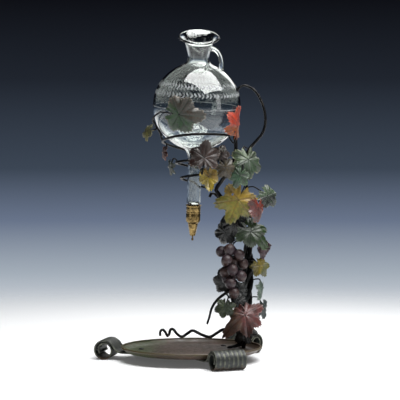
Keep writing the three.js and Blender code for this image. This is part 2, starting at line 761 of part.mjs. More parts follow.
addPart('tray', trayGeometry(), metal('trayBrown'));
for (const [name, angle] of Object.entries(FOOT_ANGLES)) {
  addPart(`foot_${name}`, footGeometry(angle), metal('iron'));
  addPart(`foot_rivet_${name}`, rivetGeometry(angle), metal('iron'));
}
for (const [name, geometry] of Object.entries(trunkGeometries())) {
  addPart(name, geometry, metal('black'));
}
addPart('trunk_nut', nutGeometry(), metal('iron'));
const COLLAR_BORE = STEM_OFFSET + STEM_RADIUS + 0.6;
addPart('trunk_collar', collarGeometry([99, 41, 165], [0, 0, 1], COLLAR_BORE, 7), metal('iron'));
addPart('cradle_coil', cradleGeometry(), metal('black'));
for (const [name, geometry] of Object.entries(tendrilGeometries())) {
  addPart(name, geometry, metal('black'));
}
for (const [name, place, facing, swing, length, shape, paint] of LEAVES) {
  addPart(name, leafGeometry(place, facing, swing, length, shape), metal(paint));
}
GRAPES.forEach((place, i) => {
  const grape = addPart(`grape_${i + 1}`, new THREE.SphereGeometry(GRAPE_RADIUS, 8, 6), metal('grape'));
  grape.position.set(...place);
});

const glassMaterial = new THREE.MeshStandardMaterial({
  color: 0xcfd8d8,
  roughness: 0.05,
  metalness: 0,
  transparent: true,
  opacity: 0.35,
});
for (const [name, geometry] of Object.entries(glassGeometries())) {
  addPart(name, geometry, glassMaterial, dispenser);
}
addPart('ferrule', ferruleGeometry(), metal('brass'), dispenser);
addPart('cork_sleeve', corkGeometry(), metal('cork'), dispenser);
addPart('nozzle_cone', coneGeometry(), metal('brass'), dispenser);
addPart('spring_guide', guideGeometry(), metal('brass'), dispenser);
addPart('valve_spring', springGeometry(), metal('steel'), dispenser);
addPart('valve_pin', pinGeometry(), metal('brass'), dispenser);
addPart('valve_washer', washerGeometry(), metal('leather'), dispenser);

group.updateMatrixWorld(true);
const box = new THREE.Box3().setFromObject(group, true);
const middle = box.getCenter(new THREE.Vector3());
group.position.set(-middle.x, -middle.y, -box.min.z);

export default group;
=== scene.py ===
"""Glass globe spirit dispenser on a forged iron vine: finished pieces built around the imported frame."""

import json
import logging
import math
import random
from dataclasses import dataclass, field
from enum import Enum
from typing import Callable, Sequence

import bpy
from mathutils import Matrix, Vector
from mathutils.bvhtree import BVHTree


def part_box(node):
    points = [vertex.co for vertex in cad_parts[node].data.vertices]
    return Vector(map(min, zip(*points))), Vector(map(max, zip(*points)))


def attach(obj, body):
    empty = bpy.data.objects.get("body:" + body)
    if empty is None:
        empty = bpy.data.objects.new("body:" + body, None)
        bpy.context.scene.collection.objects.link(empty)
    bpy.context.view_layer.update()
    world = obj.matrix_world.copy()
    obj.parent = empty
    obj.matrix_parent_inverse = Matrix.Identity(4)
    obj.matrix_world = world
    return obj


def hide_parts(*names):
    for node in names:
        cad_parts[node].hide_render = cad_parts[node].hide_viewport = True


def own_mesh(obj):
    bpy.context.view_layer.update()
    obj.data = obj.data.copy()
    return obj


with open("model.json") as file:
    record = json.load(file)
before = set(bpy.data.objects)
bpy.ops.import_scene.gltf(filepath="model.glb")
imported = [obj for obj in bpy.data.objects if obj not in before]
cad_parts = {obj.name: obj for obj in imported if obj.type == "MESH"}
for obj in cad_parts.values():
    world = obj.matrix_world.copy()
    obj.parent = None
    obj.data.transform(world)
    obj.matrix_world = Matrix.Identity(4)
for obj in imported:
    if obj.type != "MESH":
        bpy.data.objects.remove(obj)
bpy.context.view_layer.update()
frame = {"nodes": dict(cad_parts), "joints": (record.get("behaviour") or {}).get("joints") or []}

MM = 0.001
LOG = logging.getLogger("dispenser")

Point = tuple[float, float]
Space = tuple[float, float, float]


class Body(Enum):
    """The moving bodies of the dispenser."""

    STAND = "stand"
    GLOBE = "globe"
    VALVE = "valve"


# Colours and nodes


def linear(code: str) -> tuple[float, float, float, float]:
    """Turn an sRGB hex value into a linear colour.

    Args:
        code: Six hex digits, with or without a leading hash.

    Returns:
        Red, green, blue and an alpha of one.
    """
    digits = code.lstrip("#")
    parts = [int(digits[i : i + 2], 16) / 255 for i in (0, 2, 4)]
    red, green, blue = (p / 12.92 if p <= 0.04045 else ((p + 0.055) / 1.055) ** 2.4 for p in parts)
    return (red, green, blue, 1.0)


def add_node(
    tree: bpy.types.NodeTree,
    kind: str,
    settings: dict | None = None,
    links: dict | None = None,
) -> bpy.types.Node:
    """Add a node with its settings and links.

    Args:
        tree: The node tree that gets the node.
        kind: The node's type name.
        settings: Properties by name, input sockets by name or number, or a ramp's "stops".
        links: Output sockets that feed the inputs named or numbered by the keys.

    Returns:
        The new node.
    """
    node = tree.nodes.new(kind)
    for key, value in (settings or {}).items():
        if key == "stops":
            ramp = node.color_ramp
            while len(ramp.elements) < len(value):
                ramp.elements.new(1.0)
            for element, (position, colour) in zip(ramp.elements, value):
                element.position = position
                element.color = colour
        elif isinstance(key, str) and hasattr(node, key):
            setattr(node, key, value)
        else:
            node.inputs[key].default_value = value
    for key, socket in (links or {}).items():
        tree.links.new(socket, node.inputs[key])
    return node


GREY_STOPS = [(0.0, (0.0, 0.0, 0.0, 1.0)), (1.0, (1.0, 1.0, 1.0, 1.0))]


def grey_stops(low: float, high: float) -> list:
    """Ramp stops that rise from black at low to white at high."""
    return [(low, GREY_STOPS[0][1]), (high, GREY_STOPS[1][1])]


@dataclass(frozen=True)
class Finish:
    """A finish: its name and the steps every finish shares."""

    name: str

    def start(self) -> tuple[bpy.types.Material, bpy.types.NodeTree, bpy.types.Node, bpy.types.NodeSocket]:
        """Make an empty material.

        Returns:
            The material, its tree, its shader node and the object coordinates.
        """
        material = bpy.data.materials.new(self.name)
        material.use_nodes = True
        tree = material.node_tree
        shader = tree.nodes["Principled BSDF"]
        place = add_node(tree, "ShaderNodeTexCoord").outputs["Object"]
        return material, tree, shader, place

    def build(self) -> bpy.types.Material:
        """Make the material; each finish has its own."""
        raise NotImplementedError(self.name)


@dataclass(frozen=True)
class ForgedIron(Finish):
    """Wrought iron, hammered hot and oiled black: satin, dented, brown where handled, rusty in places."""

    base: str = "0f1012"
    worn: str = "34322f"
    rust: str = "4b2f20"
    rust_share: float = 0.62
    roughness: float = 0.4
    dent: float = 5 * MM

    def build(self) -> bpy.types.Material:
        """Black scale, worn to grey-brown metal in patches, with fine hammer bumps."""
        material, tree, shader, place = self.start()
        patches = add_node(tree, "ShaderNodeTexNoise", {"Scale": 1 / (14 * MM), "Detail": 6.0},
                           {"Vector": place})
        grain = add_node(tree, "ShaderNodeTexNoise", {"Scale": 1 / (1.1 * MM), "Detail": 4.0},
                         {"Vector": place})
        dents = add_node(tree, "ShaderNodeTexVoronoi", {"feature": "SMOOTH_F1", "Scale": 1 / self.dent,
                         "Smoothness": 0.9}, {"Vector": place})
        worn_mask = add_node(tree, "ShaderNodeValToRGB", {"stops": grey_stops(0.5, 0.72)},
                             {0: patches.outputs["Fac"]})
        rust_noise = add_node(tree, "ShaderNodeTexNoise", {"Scale": 1 / (8 * MM), "Detail": 8.0,
                              "Roughness": 0.7}, {"Vector": place})
        rust_mask = add_node(tree, "ShaderNodeValToRGB",
                             {"stops": grey_stops(self.rust_share, self.rust_share + 0.1)},
                             {0: rust_noise.outputs["Fac"]})
        metal = add_node(tree, "ShaderNodeMix", {"data_type": "RGBA", 6: linear(self.base),
                         7: linear(self.worn)}, {0: worn_mask.outputs[0]})
        colour = add_node(tree, "ShaderNodeMix", {"data_type": "RGBA", 7: linear(self.rust)},
                          {0: rust_mask.outputs[0], 6: metal.outputs[2]})
        gloss = add_node(tree, "ShaderNodeMapRange", {"From Min": 0.3, "From Max": 0.7,
                         "To Min": self.roughness - 0.12, "To Max": self.roughness + 0.16},
                         {"Value": grain.outputs["Fac"]})
        coarse = add_node(tree, "ShaderNodeBump", {"Strength": 0.5, "Distance": 0.5 * MM},
                          {"Height": dents.outputs["Distance"]})
        fine = add_node(tree, "ShaderNodeBump", {"Strength": 0.35, "Distance": 0.12 * MM},
                        {"Height": grain.outputs["Fac"], "Normal": coarse.outputs["Normal"]})
        shader.inputs["Metallic"].default_value = 0.85
        tree.links.new(colour.outputs[2], shader.inputs["Base Color"])
        tree.links.new(gloss.outputs["Result"], shader.inputs["Roughness"])
        tree.links.new(fine.outputs["Normal"], shader.inputs["Normal"])
        return material


@dataclass(frozen=True)
class RubbedPaint(Finish):
    """Dark green oil paint on fluted iron, rubbed to metal on the ridges and rusting at the floor."""

    paint: str = "131816"
    ridge: str = "5c5e53"
    rust: str = "382a1e"

    def build(self) -> bpy.types.Material:
        """Paint in the hollows, bare ridges by the ridge attribute, rust by height."""
        material, tree, shader, place = self.start()
        ridge = add_node(tree, "ShaderNodeAttribute", {"attribute_name": "ridge"})
        noise = add_node(tree, "ShaderNodeTexNoise", {"Scale": 1 / (7 * MM), "Detail": 7.0,
                         "Roughness": 0.65}, {"Vector": place})
        grain = add_node(tree, "ShaderNodeTexNoise", {"Scale": 1 / (0.9 * MM), "Detail": 4.0},
                         {"Vector": place})
        rubbed = add_node(tree, "ShaderNodeMath", {"operation": "MULTIPLY"},
                          {0: ridge.outputs["Fac"], 1: noise.outputs["Fac"]})
        rubbed_mask = add_node(tree, "ShaderNodeValToRGB", {"stops": grey_stops(0.34, 0.56)},
                               {0: rubbed.outputs[0]})
        height = add_node(tree, "ShaderNodeSeparateXYZ", {}, {0: place})
        low = add_node(tree, "ShaderNodeMapRange", {"From Min": 0.0, "From Max": 14 * MM,
                       "To Min": 0.42, "To Max": 0.0}, {"Value": height.outputs["Z"]})
        rusty = add_node(tree, "ShaderNodeMath", {"operation": "ADD"},
                         {0: low.outputs["Result"], 1: noise.outputs["Fac"]})
        rust_mask = add_node(tree, "ShaderNodeValToRGB", {"stops": grey_stops(0.68, 0.86)},
                             {0: rusty.outputs[0]})
        worn = add_node(tree, "ShaderNodeMix", {"data_type": "RGBA", 6: linear(self.paint),
                        7: linear(self.ridge)}, {0: rubbed_mask.outputs[0]})
        colour = add_node(tree, "ShaderNodeMix", {"data_type": "RGBA", 7: linear(self.rust)},
                          {0: rust_mask.outputs[0], 6: worn.outputs[2]})
        metal = add_node(tree, "ShaderNodeMath", {"operation": "MULTIPLY", 1: 0.8},
                         {0: rubbed_mask.outputs[0]})
        gloss = add_node(tree, "ShaderNodeMapRange", {"From Min": 0.3, "From Max": 0.7,
                         "To Min": 0.34, "To Max": 0.62}, {"Value": grain.outputs["Fac"]})
        bump = add_node(tree, "ShaderNodeBump", {"Strength": 0.4, "Distance": 0.2 * MM},
                        {"Height": grain.outputs["Fac"]})
        tree.links.new(colour.outputs[2], shader.inputs["Base Color"])
        tree.links.new(metal.outputs[0], shader.inputs["Metallic"])
        tree.links.new(gloss.outputs["Result"], shader.inputs["Roughness"])
        tree.links.new(bump.outputs["Normal"], shader.inputs["Normal"])
        return material


@dataclass(frozen=True)
class TrayPaint(Finish):
    """Brown oil paint on beaten sheet iron, stained olive to one side and rusting along the rim."""

    centre: Space = (0.0, 0.0, 0.0)
    radius: float = 120 * MM
    brown: str = "372d23"
    pink: str = "45342b"
    olive: str = "2f3719"
    dark: str = "191410"
    rust: str = "443a25"

    def build(self) -> bpy.types.Material:
        """Broad stains by place, rust towards the rim, fine grit over all."""
        material, tree, shader, place = self.start()
        centred = add_node(tree, "ShaderNodeMapping", {"vector_type": "POINT",
                           "Location": tuple(-c for c in self.centre)}, {"Vector": place})
        parts = add_node(tree, "ShaderNodeSeparateXYZ", {}, {0: centred.outputs[0]})
        stains = add_node(tree, "ShaderNodeTexNoise", {"Scale": 1 / (45 * MM), "Detail": 7.0,
                          "Roughness": 0.62}, {"Vector": place})
        blots = add_node(tree, "ShaderNodeTexNoise", {"Scale": 1 / (9 * MM), "Detail": 8.0,
                         "Roughness": 0.7}, {"Vector": place})
        grit = add_node(tree, "ShaderNodeTexNoise", {"Scale": 1 / (0.9 * MM), "Detail": 3.0},
                        {"Vector": place})
        pink_mask = add_node(tree, "ShaderNodeValToRGB", {"stops": grey_stops(0.42, 0.62)},
                             {0: stains.outputs["Fac"]})
        ground = add_node(tree, "ShaderNodeMix", {"data_type": "RGBA", 6: linear(self.brown),
                          7: linear(self.pink)}, {0: pink_mask.outputs[0]})
        aside = add_node(tree, "ShaderNodeMapRange", {"From Min": -0.2 * self.radius,
                         "From Max": -0.75 * self.radius, "To Min": 0.0, "To Max": 0.62},
                         {"Value": parts.outputs["X"]})
        olive_sum = add_node(tree, "ShaderNodeMath", {"operation": "ADD"},
                             {0: aside.outputs["Result"], 1: stains.outputs["Fac"]})
        olive_mask = add_node(tree, "ShaderNodeValToRGB", {"stops": grey_stops(0.72, 0.98)},
                              {0: olive_sum.outputs[0]})
        stained = add_node(tree, "ShaderNodeMix", {"data_type": "RGBA", 7: linear(self.olive)},
                           {0: olive_mask.outputs[0], 6: ground.outputs[2]})
        dark_mask = add_node(tree, "ShaderNodeValToRGB", {"stops": grey_stops(0.55, 0.7)},
                             {0: blots.outputs["Fac"]})
        spotted = add_node(tree, "ShaderNodeMix", {"data_type": "RGBA", 7: linear(self.dark)},
                           {0: dark_mask.outputs[0], 6: stained.outputs[2]})
        flat = add_node(tree, "ShaderNodeCombineXYZ", {}, {0: parts.outputs["X"], 1: parts.outputs["Y"]})
        reach = add_node(tree, "ShaderNodeVectorMath", {"operation": "LENGTH"}, {0: flat.outputs[0]})
        rim = add_node(tree, "ShaderNodeMapRange", {"From Min": 0.86 * self.radius, "From Max": self.radius,
                       "To Min": 0.0, "To Max": 0.5}, {"Value": reach.outputs["Value"]})
        rim_sum = add_node(tree, "ShaderNodeMath", {"operation": "ADD"},
                           {0: rim.outputs["Result"], 1: blots.outputs["Fac"]})
        rim_mask = add_node(tree, "ShaderNodeValToRGB", {"stops": grey_stops(0.82, 1.0)},
                            {0: rim_sum.outputs[0]})
        colour = add_node(tree, "ShaderNodeMix", {"data_type": "RGBA", 7: linear(self.rust)},
                          {0: rim_mask.outputs[0], 6: spotted.outputs[2]})
        gloss = add_node(tree, "ShaderNodeMapRange", {"From Min": 0.35, "From Max": 0.7,
                         "To Min": 0.3, "To Max": 0.62}, {"Value": blots.outputs["Fac"]})
        bump = add_node(tree, "ShaderNodeBump", {"Strength": 0.5, "Distance": 0.25 * MM},
                        {"Height": grit.outputs["Fac"]})
        tree.links.new(colour.outputs[2], shader.inputs["Base Color"])
        tree.links.new(gloss.outputs["Result"], shader.inputs["Roughness"])
        tree.links.new(bump.outputs["Normal"], shader.inputs["Normal"])
        return material


@dataclass(frozen=True)
class LeafPaint(Finish):
    """Old oil colours brushed on a sheet-iron leaf: two main tones, mottles, drawn veins, a rim partly chipped
    paint and partly a painted highlight.
    """

    base: str = "4f6a45"
    second: str = "55783f"
    mottle: str = "2f4030"
    vein: str = "2c3628"
    edge: str = "8a9078"
    soot: str = "22231f"
    edge_start: float = 0.94
    roughness: float = 0.34

    def build(self) -> bpy.types.Material:
        """Tones follow the leaf's own zone, vein and rim attributes, broken up by brush noise."""
        material, tree, shader, place = self.start()
        zone = add_node(tree, "ShaderNodeAttribute", {"attribute_name": "zone"})
        vein = add_node(tree, "ShaderNodeAttribute", {"attribute_name": "vein"})
        rim = add_node(tree, "ShaderNodeAttribute", {"attribute_name": "rim"})
        brush = add_node(tree, "ShaderNodeTexNoise", {"Scale": 1 / (10 * MM), "Detail": 6.0,
                         "Roughness": 0.6}, {"Vector": place})
        blots = add_node(tree, "ShaderNodeTexNoise", {"Scale": 1 / (3.4 * MM), "Detail": 6.0,
                         "Roughness": 0.68}, {"Vector": place})
        grit = add_node(tree, "ShaderNodeTexNoise", {"Scale": 1 / (0.7 * MM), "Detail": 3.0},
                        {"Vector": place})
        # Second tone by the zone attribute: another paint colour on most leaves, but a painted shadow on the
        # lower part of leaf_right.
        shifted = add_node(tree, "ShaderNodeMath", {"operation": "ADD"},
                           {0: zone.outputs["Fac"], 1: brush.outputs["Fac"]})
        zone_mask = add_node(tree, "ShaderNodeMapRange", {"From Min": 0.8, "From Max": 1.15},
                             {"Value": shifted.outputs[0]})
        tone = add_node(tree, "ShaderNodeMix", {"data_type": "RGBA", 6: linear(self.base),
                        7: linear(self.second)}, {0: zone_mask.outputs[0]})
        mottle_mask = add_node(tree, "ShaderNodeValToRGB", {"stops": grey_stops(0.44, 0.64)},
                               {0: blots.outputs["Fac"]})
        mottled = add_node(tree, "ShaderNodeMix", {"data_type": "RGBA", 7: linear(self.mottle)},
                           {0: mottle_mask.outputs[0], 6: tone.outputs[2]})
        vein_mask = add_node(tree, "ShaderNodeMapRange", {"From Min": 0.25, "From Max": 0.9,
                             "To Min": 0.0, "To Max": 0.7}, {"Value": vein.outputs["Fac"]})
        veined = add_node(tree, "ShaderNodeMix", {"data_type": "RGBA", 7: linear(self.vein)},
                          {0: vein_mask.outputs["Result"], 6: mottled.outputs[2]})
        # Pale rim colour: partly chipped paint, partly a painted highlight along the leaf's edge.
        rim_sum = add_node(tree, "ShaderNodeMath", {"operation": "MULTIPLY_ADD", 1: 0.35},
                           {0: blots.outputs["Fac"], 2: rim.outputs["Fac"]})
        rim_mask = add_node(tree, "ShaderNodeMapRange", {"From Min": self.edge_start + 0.17,
                            "From Max": self.edge_start + 0.24}, {"Value": rim_sum.outputs[0]})
        edged = add_node(tree, "ShaderNodeMix", {"data_type": "RGBA", 7: linear(self.edge)},
                         {0: rim_mask.outputs[0], 6: veined.outputs[2]})
        soot = add_node(tree, "ShaderNodeTexNoise", {"Scale": 1 / (17 * MM), "Detail": 9.0,
                        "Roughness": 0.75}, {"Vector": place})
        soot_mask = add_node(tree, "ShaderNodeMapRange", {"From Min": 0.45, "From Max": 0.66,
                             "To Min": 0.0, "To Max": 0.85}, {"Value": soot.outputs["Fac"]})
        colour = add_node(tree, "ShaderNodeMix", {"data_type": "RGBA", 7: linear(self.soot)},
                          {0: soot_mask.outputs["Result"], 6: edged.outputs[2]})
        gloss = add_node(tree, "ShaderNodeMapRange", {"From Min": 0.35, "From Max": 0.65,
                         "To Min": self.roughness - 0.12, "To Max": self.roughness + 0.18},
                         {"Value": blots.outputs["Fac"]})
        raised = add_node(tree, "ShaderNodeBump", {"Strength": 0.55, "Distance": 0.5 * MM},
                          {"Height": blots.outputs["Fac"]})
        bump = add_node(tree, "ShaderNodeBump", {"Strength": 0.3, "Distance": 0.12 * MM},
                        {"Height": grit.outputs["Fac"], "Normal": raised.outputs["Normal"]})
        tree.links.new(colour.outputs[2], shader.inputs["Base Color"])
        tree.links.new(gloss.outputs["Result"], shader.inputs["Roughness"])
        tree.links.new(bump.outputs["Normal"], shader.inputs["Normal"])
        return material


@dataclass(frozen=True)
class GrapePaint(Finish):
    """Plum-brown paint under a thin varnish, dusty in small spots: a soft sheen with a dull bloom."""

    plum: str = "271920"
    brown: str = "382521"
    bloom: str = "493d42"

    def build(self) -> bpy.types.Material:
        """Plum and brown in broad patches, a bloom in small ones, the varnish uneven."""
        material, tree, shader, place = self.start()
        broad = add_node(tree, "ShaderNodeTexNoise", {"Scale": 1 / (16 * MM), "Detail": 4.0},
                         {"Vector": place})
        spots = add_node(tree, "ShaderNodeTexNoise", {"Scale": 1 / (3 * MM), "Detail": 7.0,
                         "Roughness": 0.7}, {"Vector": place})
        broad_mask = add_node(tree, "ShaderNodeValToRGB", {"stops": grey_stops(0.4, 0.62)},
                              {0: broad.outputs["Fac"]})
        bloom_mask = add_node(tree, "ShaderNodeValToRGB", {"stops": grey_stops(0.52, 0.78)},
                              {0: spots.outputs["Fac"]})
        skin = add_node(tree, "ShaderNodeMix", {"data_type": "RGBA", 6: linear(self.plum),
                        7: linear(self.brown)}, {0: broad_mask.outputs[0]})
        colour = add_node(tree, "ShaderNodeMix", {"data_type": "RGBA", 7: linear(self.bloom)},
                          {0: bloom_mask.outputs[0], 6: skin.outputs[2]})
        gloss = add_node(tree, "ShaderNodeMapRange", {"From Min": 0.3, "From Max": 0.7,
                         "To Min": 0.36, "To Max": 0.6}, {"Value": spots.outputs["Fac"]})
        bump = add_node(tree, "ShaderNodeBump", {"Strength": 0.35, "Distance": 0.2 * MM},
                        {"Height": spots.outputs["Fac"]})
        tree.links.new(colour.outputs[2], shader.inputs["Base Color"])
        tree.links.new(gloss.outputs["Result"], shader.inputs["Roughness"])
        tree.links.new(bump.outputs["Normal"], shader.inputs["Normal"])
        return material


@dataclass(frozen=True)
class EtchedGlass(Finish):
    """Mouth-blown soda glass, faintly grey-green, with acid-etched leaf bands, a line and a flower."""

    centre: Space = (0.0, 0.0, 0.0)
    tilt: Space = (0.0, 0.0, 0.0)
    radius: float = 74.6 * MM
    tint: str = "eef2ef"
    frost: str = "c3c8ca"

    def build(self) -> bpy.types.Material:
        """Clear glass, mixed with a dull white frost where the ornament's mask is on."""
        material, tree, shader, place = self.start()
        centred = add_node(tree, "ShaderNodeMapping", {"vector_type": "TEXTURE", "Location": self.centre,
                           "Rotation": self.tilt}, {"Vector": place})
        parts = add_node(tree, "ShaderNodeSeparateXYZ", {}, {0: centred.outputs[0]})
        turn = add_node(tree, "ShaderNodeMath", {"operation": "ARCTAN2"},
                        {0: parts.outputs["Y"], 1: parts.outputs["X"]})
        height = parts.outputs["Z"]
        masks = [
            self.laurel(tree, turn.outputs[0], height, 38 * MM, 4.2 * MM),
            self.laurel(tree, turn.outputs[0], height, 24 * MM, 4.2 * MM),
            self.line(tree, height, 0.0, 0.6 * MM),
            self.rosette(tree, parts.outputs["X"], parts.outputs["Y"], height),
        ]
        mask = masks[0]
        for other in masks[1:]:
            mask = add_node(tree, "ShaderNodeMath", {"operation": "MAXIMUM"}, {0: mask, 1: other}).outputs[0]
        wear = add_node(tree, "ShaderNodeTexNoise", {"Scale": 1 / (6 * MM), "Detail": 5.0}, {"Vector": place})
        wear_mask = add_node(tree, "ShaderNodeMapRange", {"From Min": 0.3, "From Max": 0.6, "To Min": 0.08,
                             "To Max": 0.5}, {"Value": wear.outputs["Fac"]})
        etched = add_node(tree, "ShaderNodeMath", {"operation": "MULTIPLY"},
                          {0: mask, 1: wear_mask.outputs["Result"]})
        ripple = add_node(tree, "ShaderNodeTexNoise", {"Scale": 1 / (28 * MM), "Detail": 2.0},
                          {"Vector": place})
        bump = add_node(tree, "ShaderNodeBump", {"Strength": 0.25, "Distance": 1.2 * MM},
                        {"Height": ripple.outputs["Fac"]})
        frost = add_node(tree, "ShaderNodeBsdfPrincipled", {"Base Color": linear(self.frost),
                         "Roughness": 0.55, "Transmission Weight": 0.25}, {})
        output = next(node for node in tree.nodes if node.type == "OUTPUT_MATERIAL")
        blend = add_node(tree, "ShaderNodeMixShader", {}, {0: etched.outputs[0], 1: shader.outputs[0],
                         2: frost.outputs[0]})
        shader.inputs["Base Color"].default_value = linear(self.tint)
        shader.inputs["Roughness"].default_value = 0.015
        shader.inputs["IOR"].default_value = 1.5
        shader.inputs["Specular IOR Level"].default_value = 0.8
        shader.inputs["Transmission Weight"].default_value = 1.0
        tree.links.new(bump.outputs["Normal"], shader.inputs["Normal"])
        tree.links.new(blend.outputs[0], output.inputs["Surface"])
        return material

    def line(self, tree: bpy.types.NodeTree, height: bpy.types.NodeSocket, at: float,
             half: float) -> bpy.types.NodeSocket:
        """A ring etched round the globe, of the half width given, at a height above its middle."""
        ring = add_node(tree, "ShaderNodeMath", {"operation": "COMPARE", 1: at, 2: half}, {0: height})
        return ring.outputs[0]

    def laurel(self, tree: bpy.types.NodeTree, turn: bpy.types.NodeSocket, height: bpy.types.NodeSocket,
               middle: float, half: float) -> bpy.types.NodeSocket:
        """A band of slanting leaf strokes that lean away from its middle line.

        Args:
            tree: The material's tree.
            turn: The angle round the axis.
            height: The height above the globe's middle.
            middle: The band's middle height.
            half: Half the band's width.

        Returns:
            The band's mask.
        """
        above = add_node(tree, "ShaderNodeMath", {"operation": "SUBTRACT", 1: middle}, {0: height})
        away = add_node(tree, "ShaderNodeMath", {"operation": "ABSOLUTE"}, {0: above.outputs[0]})
        round_it = add_node(tree, "ShaderNodeMath", {"operation": "MULTIPLY", 1: 66.0}, {0: turn})
        lean = add_node(tree, "ShaderNodeMath", {"operation": "MULTIPLY_ADD", 1: 1 / (1.3 * MM)},
                        {0: away.outputs[0], 2: round_it.outputs[0]})
        strokes = add_node(tree, "ShaderNodeMath", {"operation": "SINE"}, {0: lean.outputs[0]})
        thin = add_node(tree, "ShaderNodeMapRange", {"From Min": 0.0, "From Max": half, "To Min": 0.55,
                        "To Max": -0.55}, {"Value": away.outputs[0]})
        leafy = add_node(tree, "ShaderNodeMath", {"operation": "ADD"},
                         {0: strokes.outputs[0], 1: thin.outputs["Result"]})
        drawn = add_node(tree, "ShaderNodeMath", {"operation": "GREATER_THAN", 1: 0.35},
                         {0: leafy.outputs[0]})
        inside = add_node(tree, "ShaderNodeMath", {"operation": "LESS_THAN", 1: half}, {0: away.outputs[0]})
        return add_node(tree, "ShaderNodeMath", {"operation": "MULTIPLY"},
                        {0: drawn.outputs[0], 1: inside.outputs[0]}).outputs[0]

    def rosette(self, tree: bpy.types.NodeTree, across: bpy.types.NodeSocket, depth: bpy.types.NodeSocket,
                height: bpy.types.NodeSocket) -> bpy.types.NodeSocket:
        """A six-petalled flower etched on the front, under the middle line.

        Args:
            tree: The material's tree.
            across: The distance to the side of the axis.
            depth: The distance behind the axis.
            height: The height above the globe's middle.

        Returns:
            The flower's mask.
        """
        low = add_node(tree, "ShaderNodeMath", {"operation": "ADD", 1: 13.5 * MM}, {0: height})
        flat = add_node(tree, "ShaderNodeCombineXYZ", {}, {0: across, 1: low.outputs[0]})
        reach = add_node(tree, "ShaderNodeVectorMath", {"operation": "LENGTH"}, {0: flat.outputs[0]})
        angle = add_node(tree, "ShaderNodeMath", {"operation": "ARCTAN2"}, {0: low.outputs[0], 1: across})
        petals = add_node(tree, "ShaderNodeMath", {"operation": "MULTIPLY", 1: 6.0}, {0: angle.outputs[0]})
        wave = add_node(tree, "ShaderNodeMath", {"operation": "COSINE"}, {0: petals.outputs[0]})
        edge = add_node(tree, "ShaderNodeMath", {"operation": "MULTIPLY_ADD", 1: 1.6 * MM, 2: 6.2 * MM},
                        {0: wave.outputs[0]})
        ring = add_node(tree, "ShaderNodeMath", {"operation": "COMPARE", 2: 0.8 * MM},
                        {0: reach.outputs["Value"], 1: edge.outputs[0]})
        eye = add_node(tree, "ShaderNodeMath", {"operation": "LESS_THAN", 1: 1.6 * MM},
                       {0: reach.outputs["Value"]})
        flower = add_node(tree, "ShaderNodeMath", {"operation": "MAXIMUM"},
                          {0: ring.outputs[0], 1: eye.outputs[0]})
        front = add_node(tree, "ShaderNodeMath", {"operation": "LESS_THAN", 1: 0.0}, {0: depth})
        return add_node(tree, "ShaderNodeMath", {"operation": "MULTIPLY"},
                        {0: flower.outputs[0], 1: front.outputs[0]}).outputs[0]


@dataclass(frozen=True)
class TurnedBrass(Finish):
    """Lathe-turned brass gone golden brown: bright where rubbed, with fine tool rings and dark spots."""

    centre: Space = (0.0, 0.0, 0.0)
    tilt: Space = (0.0, 0.0, 0.0)
    bright: str = "8f794e"
    aged: str = "443723"
    roughness: float = 0.3

    def build(self) -> bpy.types.Material:
        """Tarnish in soft patches, tool rings along the axis as bump."""
        material, tree, shader, place = self.start()
        along = add_node(tree, "ShaderNodeMapping", {"vector_type": "TEXTURE", "Location": self.centre,
                         "Rotation": self.tilt}, {"Vector": place})
        rings = add_node(tree, "ShaderNodeTexWave", {"wave_type": "BANDS", "bands_direction": "Z",
                         "Scale": 1 / (3.2 * MM), "Distortion": 0.4}, {"Vector": along.outputs[0]})
        tarnish = add_node(tree, "ShaderNodeTexNoise", {"Scale": 1 / (6 * MM), "Detail": 6.0,
                           "Roughness": 0.65}, {"Vector": place})
        mask = add_node(tree, "ShaderNodeValToRGB", {"stops": grey_stops(0.44, 0.68)},
                        {0: tarnish.outputs["Fac"]})
        colour = add_node(tree, "ShaderNodeMix", {"data_type": "RGBA", 6: linear(self.bright),
                          7: linear(self.aged)}, {0: mask.outputs[0]})
        gloss = add_node(tree, "ShaderNodeMapRange", {"From Min": 0.35, "From Max": 0.7,
                         "To Min": self.roughness - 0.08, "To Max": self.roughness + 0.22},
                         {"Value": tarnish.outputs["Fac"]})
        bump = add_node(tree, "ShaderNodeBump", {"Strength": 0.15, "Distance": 0.05 * MM},
                        {"Height": rings.outputs["Fac"]})
        shader.inputs["Metallic"].default_value = 1.0
        tree.links.new(colour.outputs[2], shader.inputs["Base Color"])
        tree.links.new(gloss.outputs["Result"], shader.inputs["Roughness"])
        tree.links.new(bump.outputs["Normal"], shader.inputs["Normal"])
        return material


@dataclass(frozen=True)
class Pitted(Finish):
    """Cork or leather: a dull organic skin with pores of one size."""

    light: str = "9b7247"
    dark: str = "4e331f"
    pore: float = 1.2 * MM
    roughness: float = 0.82

    def build(self) -> bpy.types.Material:
        """Light ground with darker pores that also dent the surface."""
        material, tree, shader, place = self.start()
        pores = add_node(tree, "ShaderNodeTexVoronoi", {"Scale": 1 / self.pore}, {"Vector": place})
        cloud = add_node(tree, "ShaderNodeTexNoise", {"Scale": 1 / (4 * self.pore), "Detail": 5.0},
                         {"Vector": place})
        sum_mask = add_node(tree, "ShaderNodeMath", {"operation": "MULTIPLY"},
                            {0: pores.outputs["Distance"], 1: cloud.outputs["Fac"]})
        mask = add_node(tree, "ShaderNodeValToRGB", {"stops": grey_stops(0.08, 0.34)},
                        {0: sum_mask.outputs[0]})
        colour = add_node(tree, "ShaderNodeMix", {"data_type": "RGBA", 6: linear(self.dark),
                          7: linear(self.light)}, {0: mask.outputs[0]})
        bump = add_node(tree, "ShaderNodeBump", {"Strength": 0.6, "Distance": 0.2 * MM},
                        {"Height": mask.outputs[0]})
        shader.inputs["Roughness"].default_value = self.roughness
        tree.links.new(colour.outputs[2], shader.inputs["Base Color"])
        tree.links.new(bump.outputs["Normal"], shader.inputs["Normal"])
        return material


